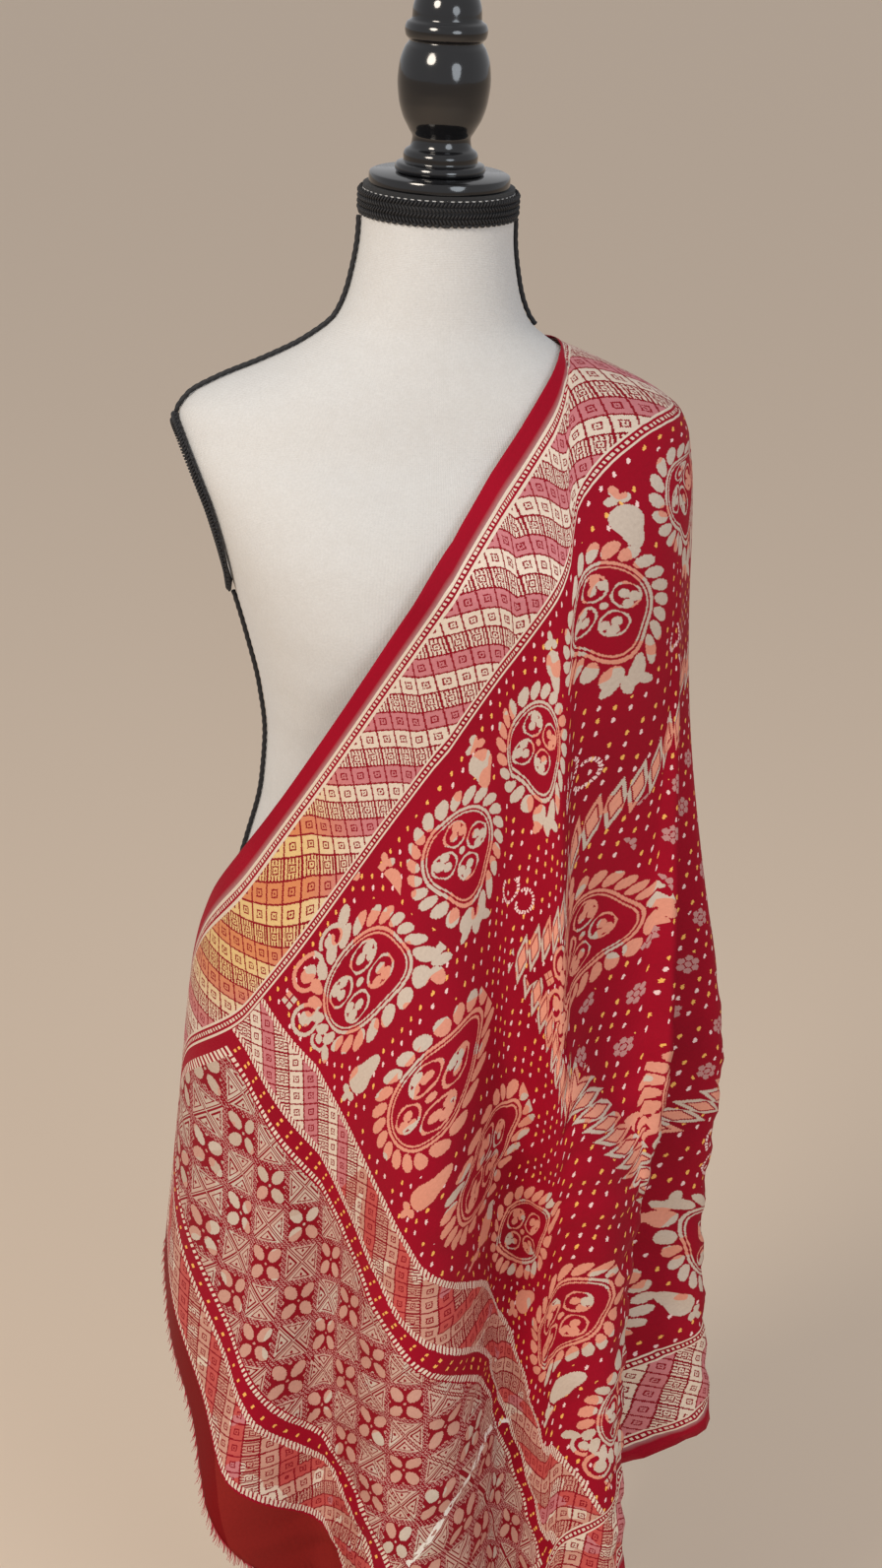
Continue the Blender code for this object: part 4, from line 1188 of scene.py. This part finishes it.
def repeatTree():      # puts a copy of a piece on each point, turned as the point says
    tree = bpy.data.node_groups.new("repeatOnPoints", "GeometryNodeTree")
    tree.interface.new_socket("Points", in_out="INPUT", socket_type="NodeSocketGeometry")
    tree.interface.new_socket("Piece", in_out="INPUT", socket_type="NodeSocketObject")
    tree.interface.new_socket("Material", in_out="INPUT", socket_type="NodeSocketMaterial")
    tree.interface.new_socket("Result", in_out="OUTPUT", socket_type="NodeSocketGeometry")
    enter = tree.nodes.new("NodeGroupInput")
    leave = tree.nodes.new("NodeGroupOutput")
    piece = tree.nodes.new("GeometryNodeObjectInfo")
    turn = tree.nodes.new("GeometryNodeInputNamedAttribute")
    turn.data_type = "FLOAT_VECTOR"
    turn.inputs["Name"].default_value = "turn"
    size = tree.nodes.new("GeometryNodeInputNamedAttribute")
    size.data_type = "FLOAT_VECTOR"
    size.inputs["Name"].default_value = "size"
    place = tree.nodes.new("GeometryNodeInstanceOnPoints")
    real = tree.nodes.new("GeometryNodeRealizeInstances")
    paint = tree.nodes.new("GeometryNodeSetMaterial")
    tree.links.new(enter.outputs["Points"], place.inputs["Points"])
    tree.links.new(enter.outputs["Piece"], piece.inputs["Object"])
    tree.links.new(piece.outputs["Geometry"], place.inputs["Instance"])
    tree.links.new(turn.outputs["Attribute"], place.inputs["Rotation"])
    tree.links.new(size.outputs["Attribute"], place.inputs["Scale"])
    tree.links.new(place.outputs["Instances"], real.inputs["Geometry"])
    tree.links.new(real.outputs["Geometry"], paint.inputs["Geometry"])
    tree.links.new(enter.outputs["Material"], paint.inputs["Material"])
    tree.links.new(paint.outputs["Geometry"], leave.inputs["Result"])
    return tree


repeatGroup = repeatTree()


def repeated(name, single, places, mat):      # places holds point, along, across, out, size
    mesh = bpy.data.meshes.new(name)
    mesh.from_pydata([tuple(place[0]) for place in places], [], [])
    turns = mesh.attributes.new("turn", "FLOAT_VECTOR", "POINT")
    sizes = mesh.attributes.new("size", "FLOAT_VECTOR", "POINT")
    for i, (point, along, across, out, size) in enumerate(places):
        turns.data[i].vector = Matrix((along, across, out)).transposed().to_euler()
        sizes.data[i].vector = size
    obj = linked(name, mesh)
    nodes = obj.modifiers.new("repeat", "NODES")
    nodes.node_group = repeatGroup
    items = [item for item in repeatGroup.interface.items_tree if item.in_out == "INPUT"]
    sockets = {item.name: item.identifier for item in items}
    nodes[sockets["Piece"]] = single
    nodes[sockets["Material"]] = mat
    plainMesh(obj)
    bpy.data.objects.remove(single)
    return obj


def joined(name, pieces):      # several pieces as one, with the first one's materials first
    sheet = bmesh.new()
    mats = []
    for piece in pieces:
        start = len(sheet.faces)
        sheet.from_mesh(piece.data)
        sheet.faces.ensure_lookup_table()
        slots = list(piece.data.materials)
        for face in sheet.faces[start:]:
            mat = slots[min(face.material_index, len(slots) - 1)]
            if mat not in mats:
                mats.append(mat)
            face.material_index = mats.index(mat)
    mesh = bpy.data.meshes.new(name)
    sheet.to_mesh(mesh)
    sheet.free()
    for mat in mats:
        mesh.materials.append(mat)
    for piece in pieces:
        bpy.data.objects.remove(piece)
    return linked(name, mesh)


def chevronStitch(wide, thick):      # one V of a gimp braid, open end forward
    points, faces = [], []
    for sign in (-1, 1):
        start = len(points)
        for i in range(6):
            q = i / 5
            arch = math.sin(math.pi * q)
            lift = thick * (0.35 + 0.5 * arch)
            centre = Vector((0.0022 * q - 0.0011, sign * wide * (0.04 + 0.96 * q), lift))
            r = thick * (0.42 + 0.16 * arch)
            for k in range(6):
                turn = sign * 2 * math.pi * k / 6
                points.append(centre + Vector((r * math.cos(turn), 0.0, r * math.sin(turn))))
        for i in range(5):
            for k in range(6):
                n = (k + 1) % 6
                a, b = start + i * 6, start + i * 6 + 6
                faces.append((a + k, b + k, b + n, a + n))
        faces.append(tuple(start + k for k in range(6)))
        faces.append(tuple(start + 30 + k for k in reversed(range(6))))
    return newPiece("stitch", points, faces)


def picotBead(radius):
    ball = bmesh.new()
    bmesh.ops.create_icosphere(ball, subdivisions=1, radius=radius)
    mesh = bpy.data.meshes.new("picot")
    ball.to_mesh(mesh)
    ball.free()
    for face in mesh.polygons:
        face.use_smooth = True
    return linked("picot", mesh)


def ribbonBand(name, path, frames, wide, thick):      # the flat ground that braid stitches sit on
    points = []
    for p, (along, across, out) in zip(path, frames):
        for a, b in ((-1, 0), (1, 0), (1, 1), (-1, 1)):
            points.append(p + across * (a * wide) + out * (b * thick))
    faces = [tuple(reversed(f)) for f in gridFaces(len(path), 4, True)]
    return newPiece(name, points, faces)


def neckBraid(mat):
    v = formValues
    mid = (v["braidLow"] + v["braidHigh"]) / 2
    size = formSize(mid)
    grown = [size[0], size[1] + 0.0008, size[2] + 0.0008, size[3] + 0.0008, size[4]]
    path = evenPath([formPoint(k * 2.0, grown) for k in range(180)], 0.0026, True)
    outward = [Vector((p.x, p.y, 0.0)) for p in path]
    frames = pathFrames(path, outward, True)
    band = ribbonBand("band", path, frames, 0.0085, 0.0012)
    band.data.materials.append(mat)
    upper, lower, edge = [], [], []
    up = Vector((0, 0, 1))
    for i, (p, (along, across, out)) in enumerate(zip(path, frames)):
        upper.append((p + up * 0.0047 + out * 0.0010, along, across, out, (1, 1, 1)))
        lower.append((p - up * 0.0033 + out * 0.0010, along, across, out, (1, 1, 1)))
        if i % 2 == 0:
            edge.append((p - up * 0.0082 + out * 0.0010, along, across, out, (1.15, 0.8, 0.6)))
            edge.append((p + up * 0.0088 + out * 0.0010, along, across, out, (0.7, 0.45, 0.5)))
    rows = repeated("rows", chevronStitch(0.0038, 0.0016), upper + lower, mat)
    picots = repeated("picots", picotBead(0.0022), edge, mat)
    return joined("neckBraid", [band, rows, picots])


def armholeBraid(mat):
    v = formValues
    ring = []
    for k in range(72):
        turn = 2 * math.pi * k / 72
        y = v["armholeWide"] * math.sin(turn)
        height = v["armholeHeight"] + v["armholeTall"] * math.cos(turn)
        size = formSize(height)
        deep = size[2] if y < 0 else size[3]
        share = (abs(y) / deep) ** size[4]
        x = size[1] * (1 - share) ** (1 / size[4])
        ring.append(Vector((-(x + 0.0018), y, height)))
    path = evenPath(ring, 0.0026, True)
    outward = [Vector((-1.0, 0.55 * p.y / 0.09, 0.15)) for p in path]
    frames = pathFrames(path, outward, True)
    band = ribbonBand("band", path, frames, 0.0040, 0.0020)
    band.data.materials.append(mat)
    places, edge = [], []
    for i, (p, (along, across, out)) in enumerate(zip(path, frames)):
        places.append((p + out * 0.0018, along, across, out, (1, 1.05, 1.2)))
        if i % 2 == 0:
            for sign in (1, -1):
                edge.append((p + across * (0.0042 * sign) + out * 0.0014, along, across, out, (1, 0.8, 0.7)))
    rows = repeated("rows", chevronStitch(0.0040, 0.0017), places, mat)
    picots = repeated("picots", picotBead(0.0017), edge, mat)
    return joined("armholeBraid", [band, rows, picots])


def sidePath(sign, low, high, clear):      # up one side of the form
    path = []
    for height in np.linspace(low, high, 60):
        size = formSize(height)
        lower = formSize(height - 0.003)
        upper = formSize(min(height + 0.003, formValues["neckTop"]))
        out = Vector((upper[0] - lower[0], 0.0, lower[1] - upper[1])).normalized()
        p = Vector((size[1], 0.0, height)) + out * clear
        path.append(Vector((sign * p.x, p.y, p.z)))
    return path


def plainMaterial(name, colour, rough, metal=0.0):
    mat = bpy.data.materials.new(name)
    mat.use_nodes = True
    shader = mat.node_tree.nodes["Principled BSDF"]
    shader.inputs["Base Color"].default_value = (*colour, 1.0)
    shader.inputs["Roughness"].default_value = rough
    shader.inputs["Metallic"].default_value = metal
    return mat


def linenMaterial():
    mat = plainMaterial("whiteLinen", (0.80, 0.79, 0.77), 0.92)
    tree = mat.node_tree
    shader = tree.nodes["Principled BSDF"]
    where = tree.nodes.new("ShaderNodeTexCoord").outputs["Object"]
    split = tree.nodes.new("ShaderNodeSeparateXYZ")
    tree.links.new(where, split.inputs[0])
    x, y, z = [Wire(tree, socket) for socket in split.outputs]
    turn = x.work("ARCTAN2", y)
    warp = (turn * 340.0).work("SINE")
    weft = (z * 5200.0).work("SINE")
    fleck = noiseValue(tree, where, 620.0, 3.0, 0.65)
    mottle = noiseValue(tree, where, 95.0, 3.0, 0.6)
    cloud = noiseValue(tree, where, 7.0, 2.0)
    tone = layered(tree, (0.62, 0.615, 0.605), (fleck - 0.35).most(0.0) * 1.1, (0.46, 0.455, 0.445))
    tone = layered(tree, tone, (mottle - 0.42).most(0.0) * 1.1, (0.55, 0.535, 0.515))
    tone = layered(tree, tone, (cloud - 0.45).most(0.0) * 0.7, (0.66, 0.62, 0.56))
    tone = layered(tree, tone, z.above(formValues["braidHigh"] - 0.001), (0.012, 0.012, 0.013))
    tree.links.new(tone, shader.inputs["Base Color"])
    shader.inputs["Sheen Weight"].default_value = 0.15
    addBump(shader, warp * 0.12 + weft * 0.12 + fleck * 0.9 + mottle * 0.4, 0.5, 0.0006)
    return mat


def braidMaterial():
    mat = plainMaterial("blackBraid", (0.016, 0.016, 0.018), 0.55)
    tree = mat.node_tree
    shader = tree.nodes["Principled BSDF"]
    where = tree.nodes.new("ShaderNodeTexCoord").outputs["Object"]
    fibre = noiseValue(tree, where, 1500.0, 3.0)
    tree.links.new((fibre * 0.4 + 0.38).socket, shader.inputs["Roughness"])
    shader.inputs["Sheen Weight"].default_value = 0.05
    shader.inputs["Specular IOR Level"].default_value = 0.3
    addBump(shader, fibre, 0.5, 0.0003)
    return mat


def wearPattern():      # scuffs and fine wear, shared by the lacquer and the paint
    tree, enter, leave = newGroup(
        "wearPattern",
        [("Place", "NodeSocketVector", None)],
        [("Scuffs", "NodeSocketFloat"), ("Fine", "NodeSocketFloat")],
    )
    place = enter.outputs["Place"]
    tree.links.new(noiseValue(tree, place, 38.0, 5.0, 0.7).socket, leave.inputs["Scuffs"])
    tree.links.new(noiseValue(tree, place, 210.0, 2.0).socket, leave.inputs["Fine"])
    return tree


wearGroup = wearPattern()


def lacquerMaterial(name, colour, rough, scuffs):
    mat = plainMaterial(name, colour, rough)
    tree = mat.node_tree
    shader = tree.nodes["Principled BSDF"]
    where = tree.nodes.new("ShaderNodeTexCoord").outputs["Object"]
    group = tree.nodes.new("ShaderNodeGroup")
    group.node_tree = wearGroup
    tree.links.new(where, group.inputs["Place"])
    wear = Wire(tree, group.outputs["Scuffs"])
    fine = Wire(tree, group.outputs["Fine"])
    wearAndHighlight = ((wear - 0.5) * scuffs + rough + (fine - 0.5) * scuffs * 0.4).most(0.04)
    tree.links.new(wearAndHighlight.socket, shader.inputs["Roughness"])
    shader.inputs["Coat Weight"].default_value = 0.35
    shader.inputs["Coat Roughness"].default_value = rough * 0.6
    addBump(shader, wear, 0.12, 0.0006)
    return mat


def finish(piece, node, mat=None):      # gives a piece its node's place and material slot
    if mat is not None:
        piece.data.materials.clear()
        piece.data.materials.append(mat)
    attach(piece, "root")
    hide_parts(node)


def addForm():
    v = formValues
    linen = linenMaterial()
    braid = braidMaterial()
    lacquer = lacquerMaterial("blackLacquer", (0.006, 0.006, 0.007), 0.12, 0.10)
    paint = lacquerMaterial("blackPaint", (0.012, 0.012, 0.013), 0.34, 0.25)
    finish(addTorso(), "torso", linen)
    print("torso made")
    finish(neckBraid(braid), "neck_braid")
    finish(armholeBraid(braid), "armhole_braid")
    radius = v["cordRadius"]
    clear = radius + 0.0002
    cordHigh = v["braidLow"] - 0.0012
    armholeTop = v["armholeHeight"] + v["armholeTall"]
    armholeLow = v["armholeHeight"] - v["armholeTall"]
    cords = (
        ("sideCord", "side_cord", -1, 0.750, armholeLow - 0.0055),
        ("leftShoulderCord", "left_shoulder_cord", -1, armholeTop + 0.0055, cordHigh),
        ("rightShoulderCord", "right_shoulder_cord", 1, 1.456, cordHigh),
    )
    for name, node, sign, start, end in cords:
        finish(twistedCord(name, sidePath(sign, start, end, clear), radius), node, braid)
    print("braids and cords made")
    low = v["neckTop"] + v["gap"]
    r, tall = v["discRadius"], v["discTall"]
    disc = [(0.0, 0.0), (r - 0.001, 0.0), (r, 0.0012), (r, tall - 0.0020), (r - 0.0006, tall - 0.0007),
            (r - 0.0020, tall), (0.0, tall)]
    knobLow = low + tall + v["gap"]
    collarLow = v["torsoBottom"] - v["gap"] - v["collarTall"]
    collar = [(0.0, 0.0), (0.024, 0.0), (0.032, 0.010), (0.045, v["collarTall"]), (0.0, v["collarTall"])]
    poleLow = v["baseTall"] + v["gap"]
    poleTall = collarLow - v["gap"] - poleLow
    pole = [(0.0, 0.0), (v["poleRadius"], 0.0), (v["poleRadius"], poleTall), (0.0, poleTall)]
    turned = (
        ("neckDisc", "neck_disc", "lacquer", lacquer, disc, low, 128),
        ("knobWood", "knob", "lacquer", lacquer, smoothProfile(knobRows, 150), knobLow, 96),
        ("collarMetal", "collar", "paint", paint, collar, collarLow, 64),
        ("poleMetal", "pole", "paint", paint, pole, poleLow, 48),
        ("baseMetal", "base", "paint", paint, baseRows, 0.0, 128),
    )
    for name, node, slot, mat, profile, lift, sides in turned:
        finish(turnedPiece(name, profile, lift, sides), node, mat)
    print("knob and stand made")


addForm()

# the frayed ends of the cloth
fringeValues = {
    "step": 0.0014,
    "length": 0.0130,
    "radius": 0.00035,
    "inset": 0.003,          # from the cloth's corners to the first thread
    "rootLength": 0.006,     # stretch of cloth that a thread takes its direction from
}


def fringeThread():
    v = fringeValues
    points = []
    for i in range(6):
        q = i / 5
        sway = 0.0011 * math.sin(3.1 * q)
        droop = 0.0006 * q * q
        r = v["radius"] * (1.0 - 0.45 * q)
        for k in range(4):
            turn = 2 * math.pi * k / 4
            points.append((v["length"] * q, sway + r * math.cos(turn), r * math.sin(turn) + droop))
    return newPiece("thread", points, gridFaces(6, 4))


def clothEdge(atStart):      # the cloth's cut end, with the way that its threads hang
    lines = np.linspace(0, foldCount - 1, 5000)
    ends = lineEnds(lines)
    s, t = clothPlace(lines, ends)
    edge = -shoulderAt if atStart else clothValues["length"] - shoulderAt
    here = (np.abs(s - edge) < 2e-4) & (ends > 0.02)
    lines, ends, t = lines[here], ends[here], t[here]
    order = np.argsort(t)
    lines, ends = lines[order], ends[order]
    return drapedPoint(lines, ends), drapedPoint(lines, ends - fringeValues["rootLength"])


def pointAt(distance, run, path):      # the point of a path at a distance along it
    return Vector([np.interp(distance, run, path[:, k]) for k in range(3)])


def addFringe(name, atStart, mat):
    rim, inside = clothEdge(atStart)
    run = distances(rim)
    inset = fringeValues["inset"]
    spots = np.arange(inset, run[-1] - inset, fringeValues["step"])
    places = []
    for i, d in enumerate(spots):
        p = pointAt(d, run, rim)
        along = (p - pointAt(d, run, inside)).normalized()
        out = along.cross(pointAt(d + 0.002, run, rim) - p).normalized()
        lean = 0.35 * math.sin(12.9 * i) + 0.2 * math.sin(4.7 * i)
        tilt = (along + out.cross(along) * lean * 0.4 + out * 0.22 * math.sin(7.3 * i)).normalized()
        out = (out - tilt * out.dot(tilt)).normalized()
        long = 0.80 + 0.18 * math.sin(2.9 * i) * math.sin(0.37 * i)
        places.append((p - along * 0.0004, tilt, out.cross(tilt), out, (long, 1.0, 1.0)))
    return repeated(name, fringeThread(), places, mat)


fringeMat = plainMaterial("fringeThreads", clothColours["red"], 0.6)
frontFringe = addFringe("frontFringe", True, fringeMat)
backFringe = addFringe("backFringe", False, fringeMat)
finish(frontFringe, "front_fringe")
finish(backFringe, "back_fringe")
print("fringes made")

# light and floor
studioValues = {
    "floor": (0.77, 0.620, 0.480),
    "sky": (0.90, 0.90, 0.92),
    "skyStrength": 0.60,
    "floorReach": 30,
    # name, place, aim, size, power, tone
    "lamps": (
        ("keyLight", (-2.1, -2.0, 3.1), (0.05, 0, 0.95), 1.2, 74.0, (1.0, 0.90, 0.78)),
        ("fillLight", (1.2, -3.0, 2.3), (0.05, 0, 0.9), 1.4, 24.2, (0.86, 0.93, 1.0)),
    ),
}


def addLight(name, place, aim, size, power, tone):
    data = bpy.data.lights.new(name, "AREA")
    data.shape = "DISK"
    data.size = size
    data.energy = power
    data.color = tone
    lamp = linked(name, data)
    lamp.location = place
    lamp.rotation_euler = (Vector(aim) - Vector(place)).to_track_quat("-Z", "Y").to_euler()


def addStudio():
    mesh = bpy.data.meshes.new("studioFloor")
    reach = studioValues["floorReach"]
    corners = [(-reach, -reach, 0), (reach, -reach, 0), (reach, reach, 0), (-reach, reach, 0)]
    mesh.from_pydata(corners, [], [(0, 1, 2, 3)])
    floor = linked("studioFloor", mesh)
    mesh.materials.append(plainMaterial("paleFloor", studioValues["floor"], 1.0))
    world = bpy.data.worlds.new("studio")
    world.use_nodes = True
    back = world.node_tree.nodes["Background"]
    back.inputs[0].default_value = (*studioValues["sky"], 1.0)
    back.inputs[1].default_value = studioValues["skyStrength"]
    scene.world = world
    for lamp in studioValues["lamps"]:
        addLight(*lamp)
    scene.view_settings.view_transform = "Standard"


addStudio()
print("studio set")
